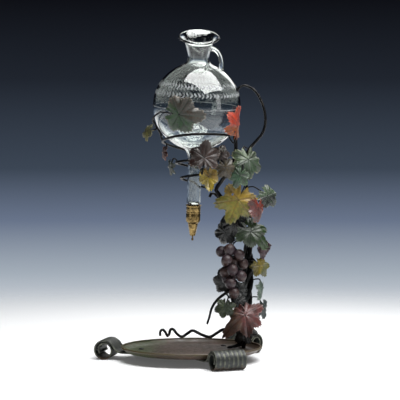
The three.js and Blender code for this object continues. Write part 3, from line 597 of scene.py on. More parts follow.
@dataclass(frozen=True)
class SprungSteel(Finish):
    """Drawn spring wire, blued by heat: a tight grey-blue gloss with brown stains."""

    blue: str = "565c66"
    stain: str = "6a5440"

    def build(self) -> bpy.types.Material:
        """Blue-grey metal stained in small patches."""
        material, tree, shader, place = self.start()
        noise = add_node(tree, "ShaderNodeTexNoise", {"Scale": 1 / (2 * MM), "Detail": 5.0},
                         {"Vector": place})
        mask = add_node(tree, "ShaderNodeValToRGB", {"stops": grey_stops(0.5, 0.7)},
                        {0: noise.outputs["Fac"]})
        colour = add_node(tree, "ShaderNodeMix", {"data_type": "RGBA", 6: linear(self.blue),
                          7: linear(self.stain)}, {0: mask.outputs[0]})
        gloss = add_node(tree, "ShaderNodeMapRange", {"To Min": 0.22, "To Max": 0.5},
                         {"Value": noise.outputs["Fac"]})
        shader.inputs["Metallic"].default_value = 1.0
        tree.links.new(colour.outputs[2], shader.inputs["Base Color"])
        tree.links.new(gloss.outputs["Result"], shader.inputs["Roughness"])
        return material


# Work at the bench


def object_mode() -> None:
    """Leave edit mode if it is on."""
    if bpy.context.object is not None and bpy.context.object.mode != "OBJECT":
        bpy.ops.object.mode_set(mode="OBJECT")


def take(obj: bpy.types.Object) -> bpy.types.Object:
    """Make one object the only selected and the active one."""
    object_mode()
    bpy.ops.object.select_all(action="DESELECT")
    obj.select_set(True)
    bpy.context.view_layer.objects.active = obj
    return obj


def clear_bench() -> None:
    """Deselect everything before a new primitive."""
    object_mode()
    bpy.ops.object.select_all(action="DESELECT")


def named(name: str) -> bpy.types.Object:
    """Name the active object and its mesh."""
    obj = bpy.context.object
    obj.name = name
    obj.data.name = name
    return obj


def apply_place(obj: bpy.types.Object) -> None:
    """Move the object's place into its mesh."""
    take(obj)
    bpy.ops.object.transform_apply(location=True, rotation=True, scale=True)


def put(obj: bpy.types.Object, place: Matrix) -> None:
    """Set a finished piece at its place in the row frame and apply it."""
    obj.matrix_world = place
    bpy.context.view_layer.update()
    apply_place(obj)


def close_up(obj: bpy.types.Object, distance: float = 1e-6) -> None:
    """Merge doubles and turn all faces outwards."""
    take(obj)
    bpy.ops.object.mode_set(mode="EDIT")
    bpy.ops.mesh.select_all(action="SELECT")
    bpy.ops.mesh.remove_doubles(threshold=distance)
    bpy.ops.mesh.normals_make_consistent(inside=False)
    bpy.ops.object.mode_set(mode="OBJECT")


def modify(obj: bpy.types.Object, kind: str, **settings: object) -> None:
    """Add a modifier, set it and apply it.

    Args:
        obj: The object that is changed.
        kind: The modifier's type name.
        settings: Its properties by name.
    """
    take(obj)
    bpy.ops.object.modifier_add(type=kind)
    modifier = obj.modifiers[-1]
    for key, value in settings.items():
        setattr(modifier, key, value)
    bpy.ops.object.modifier_apply(modifier=modifier.name)


def smooth(obj: bpy.types.Object, degrees: float = 35) -> None:
    """Shade smooth except over edges sharper than the angle."""
    take(obj)
    bpy.ops.object.shade_smooth_by_angle(angle=math.radians(degrees))


def start_line(name: str, start: Space) -> bpy.types.Object:
    """Begin a drawn line: a plane merged to one point, left in edit mode."""
    clear_bench()
    bpy.ops.mesh.primitive_plane_add(size=MM, location=start)
    obj = named(name)
    bpy.ops.object.transform_apply(location=True)
    bpy.ops.object.mode_set(mode="EDIT")
    bpy.ops.mesh.select_mode(type="VERT")
    bpy.ops.mesh.select_all(action="SELECT")
    bpy.ops.mesh.merge(type="CENTER")
    return obj


def turned(name: str, profile: Sequence[Point], steps: int) -> bpy.types.Object:
    """Turn a piece about Z.

    Args:
        name: The piece's name.
        profile: Radius and height of the points along its section, in metres.
        steps: The number of steps in the full turn.

    Returns:
        The turned piece, closed, with its faces outwards.
    """
    obj = start_line(name, (profile[0][0], 0.0, profile[0][1]))
    for before, after in zip(profile, profile[1:]):
        step = (after[0] - before[0], 0.0, after[1] - before[1])
        bpy.ops.mesh.extrude_region_move(TRANSFORM_OT_translate={"value": step})
    bpy.ops.mesh.select_all(action="SELECT")
    bpy.ops.mesh.spin(steps=steps, angle=2 * math.pi, center=(0, 0, 0), axis=(0, 0, 1))
    bpy.ops.object.mode_set(mode="OBJECT")
    close_up(obj)
    smooth(obj, 40)
    return obj


def arc(centre: Point, radius: float, start: float, end: float, count: int) -> list[Point]:
    """Points of a circular arc in a section, in degrees from the outward direction."""
    angles = [math.radians(start + (end - start) * i / count) for i in range(count + 1)]
    return [(centre[0] + radius * math.cos(a), centre[1] + radius * math.sin(a)) for a in angles]


def curve_between(start: Point, control: Point, end: Point, count: int) -> list[Point]:
    """Points of a quadratic curve in a section."""
    points = []
    for i in range(count + 1):
        t = i / count
        weights = ((1 - t) ** 2, 2 * t * (1 - t), t * t)
        points.append(tuple(sum(w * p[k] for w, p in zip(weights, (start, control, end))) for k in (0, 1)))
    return points


def eased(points: Sequence[Vector], per_span: int = 6) -> list[Vector]:
    """A smooth line through points.

    Args:
        points: The points it passes through.
        per_span: How many steps it takes between two of them.

    Returns:
        The line's points.
    """
    padded = [2 * points[0] - points[1], *points, 2 * points[-1] - points[-2]]
    line = []
    for a, b, c, d in zip(padded, padded[1:], padded[2:], padded[3:]):
        for i in range(per_span):
            t = i / per_span
            line.append(0.5 * ((2 * b) + (c - a) * t + (2 * a - 5 * b + 4 * c - d) * t**2
                               + (3 * b - a - 3 * c + d) * t**3))
    return [*line, points[-1].copy()]


def rod(name: str, line: Sequence[Vector], thick: Callable[[float], float],
        sides: int = 3) -> bpy.types.Object:
    """Draw a round rod along a line, as a curve with a bevel that is made a mesh.

    Args:
        name: The rod's name.
        line: The points along it.
        thick: Its radius at a share of its length from 0 to 1.
        sides: The bevel's resolution.

    Returns:
        The rod, closed at both ends.
    """
    clear_bench()
    bpy.ops.curve.primitive_nurbs_path_add()
    obj = named(name)
    curve = obj.data
    curve.splines.clear()
    spline = curve.splines.new("POLY")
    spline.points.add(len(line) - 1)
    for i, (point, where) in enumerate(zip(spline.points, line)):
        point.co = (*where, 1.0)
        point.radius = thick(i / (len(line) - 1))
    curve.bevel_depth = 1.0
    curve.bevel_resolution = sides
    curve.use_fill_caps = True
    bpy.ops.object.convert(target="MESH")
    obj = named(name)
    close_up(obj)
    smooth(obj, 60)
    return obj


def bench_copy(name: str, source: bpy.types.Object) -> bpy.types.Object:
    """Copy an object with a mesh of its own."""
    obj = bpy.data.objects.new(name, source.data.copy())
    obj.data.name = name
    bpy.context.scene.collection.objects.link(obj)
    return obj


def cloud_texture(name: str, size: float) -> bpy.types.Texture:
    """A cloud pattern for dents of about one size."""
    texture = bpy.data.textures.get(name) or bpy.data.textures.new(name, "CLOUDS")
    texture.noise_scale = size
    return texture


def forged(name: str, node: str, voxel: float, dent: float, dent_size: float = 6 * MM,
           rounds: int = 8, full: float = 0.02 * MM) -> bpy.types.Object:
    """Forge a piece from its frame node: welded, rounded off and dented by the hammer.

    Args:
        name: The new piece's name.
        node: The frame node it is made from.
        voxel: The mesh size, in metres.
        dent: How deep the hammer marks are.
        dent_size: How far apart they are.
        rounds: How often its corners are eased.
        full: How much each easing is made up for by swelling it again.

    Returns:
        The forged piece.
    """
    obj = bench_copy(name, frame["nodes"][node])
    obj.data.materials.clear()
    close_up(obj)
    modify(obj, "REMESH", mode="VOXEL", voxel_size=voxel, use_smooth_shade=True)
    modify(obj, "SMOOTH", factor=0.5, iterations=rounds)
    texture = cloud_texture(f"hammer_{round(dent_size / MM)}", dent_size)
    fuller = 0.5 - rounds * full / (2 * dent)
    modify(obj, "DISPLACE", texture=texture, strength=2 * dent, mid_level=fuller, texture_coords="LOCAL")
    take(obj)
    bpy.ops.object.shade_smooth()
    return obj


def hand_over(obj: bpy.types.Object, material: bpy.types.Material, body: Body, slot: str,
              *nodes: str) -> None:
    """Dress a finished piece and fix it to its body.

    Args:
        obj: The piece.
        material: Its finish.
        body: The body it moves with.
        slot: The record's material slot; not used.
        nodes: The frame nodes it stands for.
    """
    obj.data.materials.clear()
    obj.data.materials.append(material)
    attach(obj, body.value)
    if nodes:
        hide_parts(*nodes)
    LOG.info("%s rides on %s, %d faces", obj.name, body.value, len(obj.data.polygons))


def seeded(name: str) -> random.Random:
    """A random source that is the same for a name on every run."""
    return random.Random(sum((i + 1) * ord(c) for i, c in enumerate(name)))


def step_up(value: float, low: float, high: float) -> float:
    """A smooth step from 0 at low to 1 at high."""
    t = min(1.0, max(0.0, (value - low) / (high - low)))
    return t * t * (3 - 2 * t)


# The stand


@dataclass
class DripTray:
    """The round beaten tray that everything stands on."""

    radius: float = 120.7 * MM
    floor_radius: float = 105 * MM
    floor: float = 16.5 * MM
    rim: float = 25 * MM
    thick: float = 2.5 * MM
    steps: int = 168

    @property
    def centre(self) -> Vector:
        """The middle of the tray, at floor level of the room."""
        low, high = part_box("tray")
        return Vector(((low.x + high.x) / 2, (low.y + high.y) / 2, 0.0))

    def profile(self) -> list[Point]:
        """The section: out along the top, over the rolled rim and back underneath."""
        bead = 1.9 * MM
        lip = (self.radius - bead, self.rim - bead)
        top = [(0.0, self.floor)] + [(self.floor_radius * i / 9, self.floor) for i in range(1, 10)]
        rise = curve_between((self.floor_radius, self.floor), (self.floor_radius + 6 * MM, self.floor),
                             (lip[0] - 1.4 * MM, lip[1] - 0.6 * MM), 8)
        roll = arc(lip, bead, 150, -100, 12)
        under = curve_between((lip[0] - 1.2 * MM, lip[1] - 2.4 * MM),
                              (self.floor_radius + 7 * MM, self.floor - self.thick),
                              (self.floor_radius, self.floor - self.thick), 8)
        base = [(self.floor_radius * i / 9, self.floor - self.thick) for i in range(8, -1, -1)]
        return [*top, *rise[1:], *roll, *under, *base]

    def build(self) -> None:
        """Turn the tray, beat it uneven and paint it."""
        tray = turned("drip_tray", self.profile(), self.steps)
        put(tray, Matrix.Translation(self.centre))
        modify(tray, "DISPLACE", texture=cloud_texture("beaten", 26 * MM), strength=0.9 * MM, mid_level=0.5,
               texture_coords="LOCAL")
        smooth(tray, 50)
        # Oil paint over beaten iron: dull brown, patchy, rust where cups scraped the rim
        finish = TrayPaint("painted_beaten_iron", centre=tuple(self.centre), radius=self.radius)
        hand_over(tray, finish.build(), Body.STAND, "tray_paint", "tray")


@dataclass
class ScrollFeet:
    """Three fluted straps that run under the tray and roll up at their ends, with their rivets."""

    angles: dict[str, float] = field(default_factory=lambda: {"left": 168, "front": 294, "rear": 51})
    width: float = 56 * MM
    thick: float = 2.5 * MM
    scroll_radius: float = 15.5 * MM
    scroll_centre: Point = (148 * MM, 17 * MM)
    flutes: int = 7
    rows_per_flute: int = 6
    flute_depth: float = 0.5 * MM

    def centre_line(self) -> list[Point]:
        """The strap's line from under the tray, up into the scroll and round inside it."""
        straight = [(72, 12.2), (85, 12.2), (100, 12.2), (115, 12.2), (120, 12.9), (124.5, 14.4),
                    (128.6, 18.7), (133.2, 26)]
        line = [(x * MM, z * MM) for x, z in straight]
        angle = 120
        while angle >= -400:
            radius = self.scroll_radius - max(0.0, (-100 - angle) / 360) * 9 * MM
            radius = radius / 0.97 if angle > 100 else radius
            turn = math.radians(angle)
            line.append((self.scroll_centre[0] + radius * math.cos(turn),
                         self.scroll_centre[1] + radius * math.sin(turn)))
            angle -= 10
        return line

    def strap(self) -> bpy.types.Object:
        """Draw the line, draw it out sideways, press the flutes and give it its thickness."""
        line = self.centre_line()
        foot = start_line("foot_pattern", (line[0][0], -self.width / 2, line[0][1]))
        for before, after in zip(line, line[1:]):
            step = (after[0] - before[0], 0.0, after[1] - before[1])
            bpy.ops.mesh.extrude_region_move(TRANSFORM_OT_translate={"value": step})
        bpy.ops.mesh.select_all(action="SELECT")
        rows = self.flutes * self.rows_per_flute
        for _ in range(rows):
            bpy.ops.mesh.extrude_region_move(TRANSFORM_OT_translate={"value": (0, self.width / rows, 0)})
        bpy.ops.object.mode_set(mode="OBJECT")
        close_up(foot)
        self.press(foot)
        modify(foot, "SOLIDIFY", thickness=self.thick, offset=0.0, use_even_offset=True)
        modify(foot, "BEVEL", width=0.4 * MM, segments=2, limit_method="ANGLE", angle_limit=math.radians(50))
        return foot

    def press(self, foot: bpy.types.Object) -> None:
        """Press the flutes into the strap and remember where the ridges are."""
        ridge = foot.data.attributes.new("ridge", "FLOAT", "POINT")
        heights = []
        moves = []
        for vertex in foot.data.vertices:
            across = (vertex.co.y / self.width + 0.5) * self.flutes
            height = abs(math.cos(math.pi * across)) ** 1.5
            heights.append(height)
            moves.append(vertex.normal * (height - 0.5) * self.flute_depth)
        for vertex, move in zip(foot.data.vertices, moves):
            vertex.co += move
        ridge.data.foreach_set("value", heights)

    def build(self, centre: Vector, iron: bpy.types.Material) -> None:
        """Make the three feet and their rivets.

        Args:
            centre: The tray's middle.
            iron: The rivets' finish.
        """
        pattern = self.strap()
        # Thin dark paint, gone from the ridges that hands and cloths reach
        paint = RubbedPaint("rubbed_green_paint").build()
        for name, angle in self.angles.items():
            foot = bench_copy(f"scroll_{name}", pattern)
            put(foot, Matrix.Translation(centre) @ Matrix.Rotation(math.radians(angle), 4, "Z"))
            modify(foot, "DISPLACE", texture=cloud_texture("strap", 9 * MM), strength=0.5 * MM, mid_level=0.5,
                   texture_coords="LOCAL")
            for vertex in foot.data.vertices:
                vertex.co.z = max(vertex.co.z, 0.0)
            smooth(foot, 50)
            hand_over(foot, paint, Body.STAND, "foot_paint", f"foot_{name}")
            rivet = forged(f"rivet_{name}", f"foot_rivet_{name}", 0.45 * MM, 0.12 * MM, 3 * MM, 3)
            hand_over(rivet, iron, Body.STAND, "wrought_iron", f"foot_rivet_{name}")
        bpy.data.objects.remove(pattern)


@dataclass
class IronVine:
    """The twisted trunk, the cradle that holds the globe, and the tendrils."""

    trunk: tuple[str, ...] = ("trunk_arch", "trunk_thorn", "trunk_upright")
    wires: tuple[str, ...] = ("cradle_coil", "loop_tendril", "branch_tendril", "hanging_tendril",
                              "base_tendril")
    small: tuple[str, ...] = ("trunk_nut", "trunk_collar")
    swell: dict[str, float] = field(default_factory=lambda: {"hanging_tendril": 0.2, "base_tendril": 0.08})

    def build(self, iron: bpy.types.Material) -> None:
        """Forge every rod and wire from its frame node.

        Args:
            iron: The finish of the ironwork.
        """
        for node in self.trunk:
            stem = forged(f"stem_{node.split('_')[1]}", node, 0.75 * MM, 0.6 * MM, 5 * MM, 8)
            hand_over(stem, iron, Body.STAND, "wrought_iron", node)
        for node in self.wires:
            swell = self.swell.get(node, 0.02) * MM
            wire = forged(f"iron_{node}", node, 0.5 * MM, 0.25 * MM, 5 * MM, 5, swell)
            hand_over(wire, iron, Body.STAND, "wrought_iron", node)
        for node in self.small:
            piece = forged(f"iron_{node}", node, 0.5 * MM, 0.2 * MM, 4 * MM, 3)
            hand_over(piece, iron, Body.STAND, "wrought_iron", node)
        stalk = forged("iron_grape_stalk", "grape_stalk", 0.35 * MM, 0.12 * MM, 4 * MM, 5)
        hand_over(stalk, iron, Body.STAND, "wrought_iron", "grape_stalk")

    def surface(self) -> BVHTree:
        """All ironwork that a stalk may spring from."""
        corners: list[Vector] = []
        faces: list[tuple[int, ...]] = []
        for node in (*self.trunk, *self.wires[:4]):
            mesh = frame["nodes"][node].data
            base = len(corners)
            corners.extend(v.co.copy() for v in mesh.vertices)
            faces.extend(tuple(base + i for i in p.vertices) for p in mesh.polygons)
        return BVHTree.FromPolygons(corners, faces)


# The foliage


@dataclass
class VineLeaf:
    """One sheet-iron vine leaf: how it hangs, how it is bent and how it is painted."""

    node: str
    facing: Point
    swing: float
    length: float
    bend: Space
    paint: LeafPaint
    slot: str
    toward: Space = (1.0, 0.0, 0.0)
    spread: float = 0.0
    holes: tuple[Point, ...] = ()
    ruffle: float = 0.06
    lobes: tuple[float, ...] = ()
    grow: float = 1.12
    twin: str = ""
    shift: Space = (0.0, 0.0, 0.0)

    @property
    def name(self) -> str:
        """Its node's name without the prefix, or its own if it is an extra leaf or a painted-shade sheet set
        beside that node's leaf.
        """
        return self.twin or self.node[5:]

    @property
    def turn(self) -> Matrix:
        """The leaf's axes: x to its tip, z out of its face."""
        right, up, swing = (math.radians(a) for a in (*self.facing, self.swing))
        face = Vector((math.sin(right) * math.cos(up), -math.cos(right) * math.cos(up), math.sin(up)))
        down = Vector((math.sin(right) * math.sin(up), -math.cos(right) * math.sin(up), -math.cos(up)))
        across = Vector((math.cos(right), math.sin(right), 0.0))
        tip = down * math.cos(swing) + across * math.sin(swing)
        side = face.cross(tip)
        return Matrix((tip, side, face)).transposed()

    def navel(self) -> Vector:
        """Where the leaf's stalk meets its blade, read from its frame node."""
        turn = self.turn
        back = turn.transposed()
        local = [back @ v.co for v in frame["nodes"][self.node].data.vertices]
        x = max(p.x for p in local) - self.length
        y = (max(p.y for p in local) + min(p.y for p in local)) / 2
        near = [p.z for p in local if math.hypot(p.x - x, p.y - y) < 0.12 * self.length]
        z = max(near) if near else sum(p.z for p in local) / len(local)
        return turn @ Vector((x, y, z - 0.4 * MM))


@dataclass
class Foliage:
    """All the leaves, cut from one pattern and then bent one by one."""

    rim: int = 228
    rings: int = 18
    teeth: int = 38
    sheet: float = 0.8 * MM
    stalk: float = 1.25 * MM

    def pattern(self) -> bpy.types.Object:
        """A round sheet of rings: a circle extruded inwards again and again and closed at its middle."""
        clear_bench()
        bpy.ops.mesh.primitive_circle_add(vertices=self.rim, radius=1.0, fill_type="NOTHING")
        blank = named("leaf_pattern")
        bpy.ops.object.mode_set(mode="EDIT")
        bpy.ops.mesh.select_all(action="SELECT")
        for ring in range(self.rings, 1, -1):
            bpy.ops.mesh.extrude_region_move(TRANSFORM_OT_translate={"value": (0, 0, 0)})
            share = (ring - 1) / ring
            bpy.ops.transform.resize(value=(share, share, share), center_override=(0, 0, 0))
        bpy.ops.mesh.extrude_region_move(TRANSFORM_OT_translate={"value": (0, 0, 0)})
        bpy.ops.mesh.merge(type="CENTER")
        bpy.ops.object.mode_set(mode="OBJECT")
        close_up(blank)
        return blank

    def outline(self, angle: float, reaches: Sequence[float], bites: Sequence[float]) -> float:
        """How far the blade reaches at an angle.

        Args:
            angle: From the tip, in radians, positive to the left.
            reaches: The length of each of the six sectors' lobes.
            bites: The depth of each tooth.

        Returns:
            The reach as a share of the leaf's length.
        """
        turned_away = abs(angle) / math.pi
        lobe = (0.5 + 0.5 * math.cos(6 * angle)) ** 0.7
        sector = round(angle / (math.pi / 3)) % 6
        body = 0.72 + (reaches[sector] - 0.72) * lobe
        sinus = 1 - 0.68 * step_up(turned_away, 0.9, 1.0)
        place = (angle / (2 * math.pi) + 0.5) * self.teeth
        within = place - math.floor(place)
        tooth = 1 - abs(2 * within - 1)
        bite = bites[int(place) % self.teeth]
        return body * (1 - 0.24 * turned_away) * sinus * (1 - bite * (1 - tooth))

    def shape(self, leaf: VineLeaf, blank: bpy.types.Object) -> bpy.types.Object:
        """Cut, vein, ruffle and bend one leaf in its own axes.

        Args:
            leaf: The leaf's data.
            blank: The pattern.

        Returns:
            The leaf, with its vein, rim and zone attributes.
        """
        source = seeded(leaf.name)
        obj = bench_copy(f"blade_{leaf.name}", blank)
        reaches = leaf.lobes or [source.uniform(0.9, 1.08) for _ in range(6)]
        bites = [source.uniform(0.05, 0.13) for _ in range(self.teeth)]
        tips = [source.uniform(-0.3, 0.12) for _ in range(6)]
        phase = source.uniform(0, 2 * math.pi)
        turn = leaf.turn
        toward = turn.transposed() @ Vector(leaf.toward).normalized()
        veins, rims, zones = [], [], []
        for vertex in obj.data.vertices:
            share = min(1.0, math.hypot(vertex.co.x, vertex.co.y))
            angle = math.atan2(vertex.co.y, vertex.co.x)
            reach = self.outline(angle, reaches, bites)
            reach = 0.72 + (reach - 0.72) * step_up(share, 0.0, 0.8)
            x, y = share * reach * math.cos(angle), share * reach * math.sin(angle)
            sector = round(angle / (math.pi / 3))
            off = angle - sector * math.pi / 3
            along, aside = share * reach * math.cos(off), abs(share * reach * math.sin(off))
            main = math.exp(-((aside / 0.028) ** 2)) * (0 if abs(sector) == 3 else 1)
            rib_place = (along - 0.75 * aside) * 7.0
            rib = math.exp(-((((rib_place + 0.5) % 1) - 0.5) / 0.16) ** 2) * step_up(aside, 0.01, 0.05)
            rib *= 0.55 * (1 - step_up(share, 0.85, 1.0))
            wave = math.sin(5 * angle + phase) + 0.6 * math.sin(11 * angle + 2 * phase)
            curl = tips[sector % 6] * step_up(share * reach, 0.45, 1.0) ** 1.5
            bend = 1.25 * (leaf.bend[0] * y * y + leaf.bend[1] * x * x)
            pucker = 0.02 * math.sin(math.pi * min(1.0, aside / 0.22)) * share
            height = bend + curl + leaf.ruffle * wave * share**2.5 + pucker - 0.012 * main - 0.006 * rib
            vertex.co = Vector((x, y, height)) * leaf.length * leaf.grow
            veins.append(max(main, rib))
            rims.append(share)
            zones.append(step_up(Vector((x, y, 0)).dot(toward) - leaf.spread, -0.3, 0.3))
        for name, values in (("vein", veins), ("rim", rims), ("zone", zones)):
            obj.data.attributes.new(name, "FLOAT", "POINT").data.foreach_set("value", values)
        self.pierce(obj, leaf)
        return obj

    def pierce(self, obj: bpy.types.Object, leaf: VineLeaf) -> None:
        """Cut the small holes that rust has eaten in a leaf."""
        if not leaf.holes:
            return
        take(obj)
        bpy.ops.object.mode_set(mode="EDIT")
        bpy.ops.mesh.select_mode(type="FACE")
        bpy.ops.mesh.select_all(action="DESELECT")
        bpy.ops.object.mode_set(mode="OBJECT")
        for face in obj.data.polygons:
            flat = Vector((face.center.x, face.center.y)) / (leaf.length * leaf.grow)
            face.select = any((flat - Vector(hole)).length < 0.055 for hole in leaf.holes)
        bpy.ops.object.mode_set(mode="EDIT")
        bpy.ops.mesh.delete(type="FACE")
        bpy.ops.mesh.select_mode(type="VERT")
        bpy.ops.object.mode_set(mode="OBJECT")

    def hang(self, leaf: VineLeaf, blade: bpy.types.Object, navel: Vector, iron: bpy.types.Material,
             ironwork: BVHTree) -> None:
        """Set the blade in its place and run its stalk back to the nearest iron.

        Args:
            leaf: The leaf's data.
            blade: Its shaped blade.
            navel: Where its stalk meets the blade.
            iron: The stalk's finish.
            ironwork: The surfaces a stalk may end on.
        """
        turn = leaf.turn
        put(blade, Matrix.Translation(navel) @ turn.to_4x4())
        modify(blade, "SOLIDIFY", thickness=self.sheet, offset=0.0)
        smooth(blade, 50)
        material = bpy.data.materials.get(leaf.paint.name) or leaf.paint.build()
        nodes = () if leaf.twin else (leaf.node,)
        hand_over(blade, material, Body.STAND, leaf.slot, *nodes)
        length, drop = leaf.length, leaf.bend[2]
        route = [navel + turn @ Vector(p) for p in (
            (0.03 * length, 0, -0.3 * MM), (-0.2 * length, 0, -0.3 * drop * length),
            (-0.85 * length, 0, -drop * length))]
        nearest, normal, _, gap = ironwork.find_nearest(route[-1])
        if gap > 1 * MM:
            inside = nearest - normal * 1.2 * MM
            middle = (route[-1] + inside) / 2 + (route[-1] - route[-2]) * 0.12
            route += [middle, inside]
        stalk = rod(f"stalk_{leaf.name}", eased(route), lambda share: self.stalk * (1 - 0.15 * share))
        hand_over(stalk, iron, Body.STAND, "wrought_iron")

    def build(self, leaves: Sequence[VineLeaf], iron: bpy.types.Material, ironwork: BVHTree) -> None:
        """Make every leaf.

        Args:
            leaves: The leaves' data.
            iron: The stalks' finish.
            ironwork: The surfaces a stalk may end on.
        """
        blank = self.pattern()
        navels = {leaf.node: leaf.navel() for leaf in leaves if not leaf.twin}
        for leaf in leaves:
            navel = navels[leaf.node] + Vector(leaf.shift) * MM
            self.hang(leaf, self.shape(leaf, blank), navel, iron, ironwork)
        bpy.data.objects.remove(blank)


@dataclass
class GrapeBunch:
    """The bunch of iron grapes, each on its own little stalk."""

    count: int = 9
    radius: float = 9.3 * MM
    behind: tuple[tuple[int, Space], ...] = (
        (4, (-9.5, 10.0, -12.0)),
        (8, (-11.0, 14.0, 3.0)),
        (9, (6.0, 2.0, -17.0)),
        (3, (-0.5, 17.0, -4.0)),
        (2, (2.5, 17.5, -2.5)),
        (7, (3.0, 12.0, -13.0)),
    )

    def pattern(self) -> bpy.types.Object:
        """A grape: a sphere drawn long, with its flower end pressed in."""
        clear_bench()
        bpy.ops.mesh.primitive_uv_sphere_add(segments=40, ring_count=28, radius=self.radius)
        grape = named("grape_pattern")
        for vertex in grape.data.vertices:
            height = vertex.co.z / self.radius
            pressed = 0.1 * step_up(-height, 0.93, 1.0) - 0.05 * step_up(-height, 0.82, 0.93)
            vertex.co.z = self.radius * (1.05 * height + pressed)
        return grape

    def places(self) -> list[Vector]:
        """The grapes' middles: the frame's, and those wedged behind and under them."""
        middles = [sum(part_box(f"grape_{i + 1}"), Vector()) / 2 for i in range(self.count)]
        return middles + [middles[i - 1] + Vector(shift) * MM for i, shift in self.behind]

    def build(self, iron: bpy.types.Material) -> None:
        """Copy, dent, turn and paint the grapes.

        Args:
            iron: The little stalks' finish.
        """
        pattern = self.pattern()
        # Plum oil colour over iron balls, varnished thin and dusty
        paint = GrapePaint("plum_varnish").build()
        stem_mesh = frame["nodes"]["grape_stalk"].data
        stem = BVHTree.FromPolygons([v.co.copy() for v in stem_mesh.vertices],
                                    [tuple(p.vertices) for p in stem_mesh.polygons])
        for i, middle in enumerate(self.places()):
            name = f"grape_{i + 1}"
            source = seeded(name)
            grape = bench_copy(f"berry_{i + 1}", pattern)
            tip_back = Matrix.Rotation(source.uniform(-0.4, 0.4), 4, "X")
            lean = tip_back @ Matrix.Rotation(source.uniform(-0.4, 0.4), 4, "Y")
            size = source.uniform(0.95, 1.04)
            put(grape, Matrix.Translation(middle) @ lean @ Matrix.Scale(size, 4))
            modify(grape, "DISPLACE", texture=cloud_texture("berry", 6 * MM), strength=0.7 * MM,
                   mid_level=0.5, texture_coords="LOCAL")
            smooth(grape, 80)
            nodes = (name,) if i < self.count else ()
            hand_over(grape, paint, Body.STAND, "grape_paint", *nodes)
            top = middle + (lean @ Vector((0, 0, 0.9 * self.radius)))
            nearest = stem.find_nearest(top)[0]
            bow = (top + nearest) / 2 + Vector((0, 1.5, 3)) * MM
            twig = rod(f"berry_twig_{i + 1}", eased([top, bow, nearest]), lambda share: 0.75 * MM)
            hand_over(twig, iron, Body.STAND, "wrought_iron")
        bpy.data.objects.remove(pattern)


# The globe and its nozzle


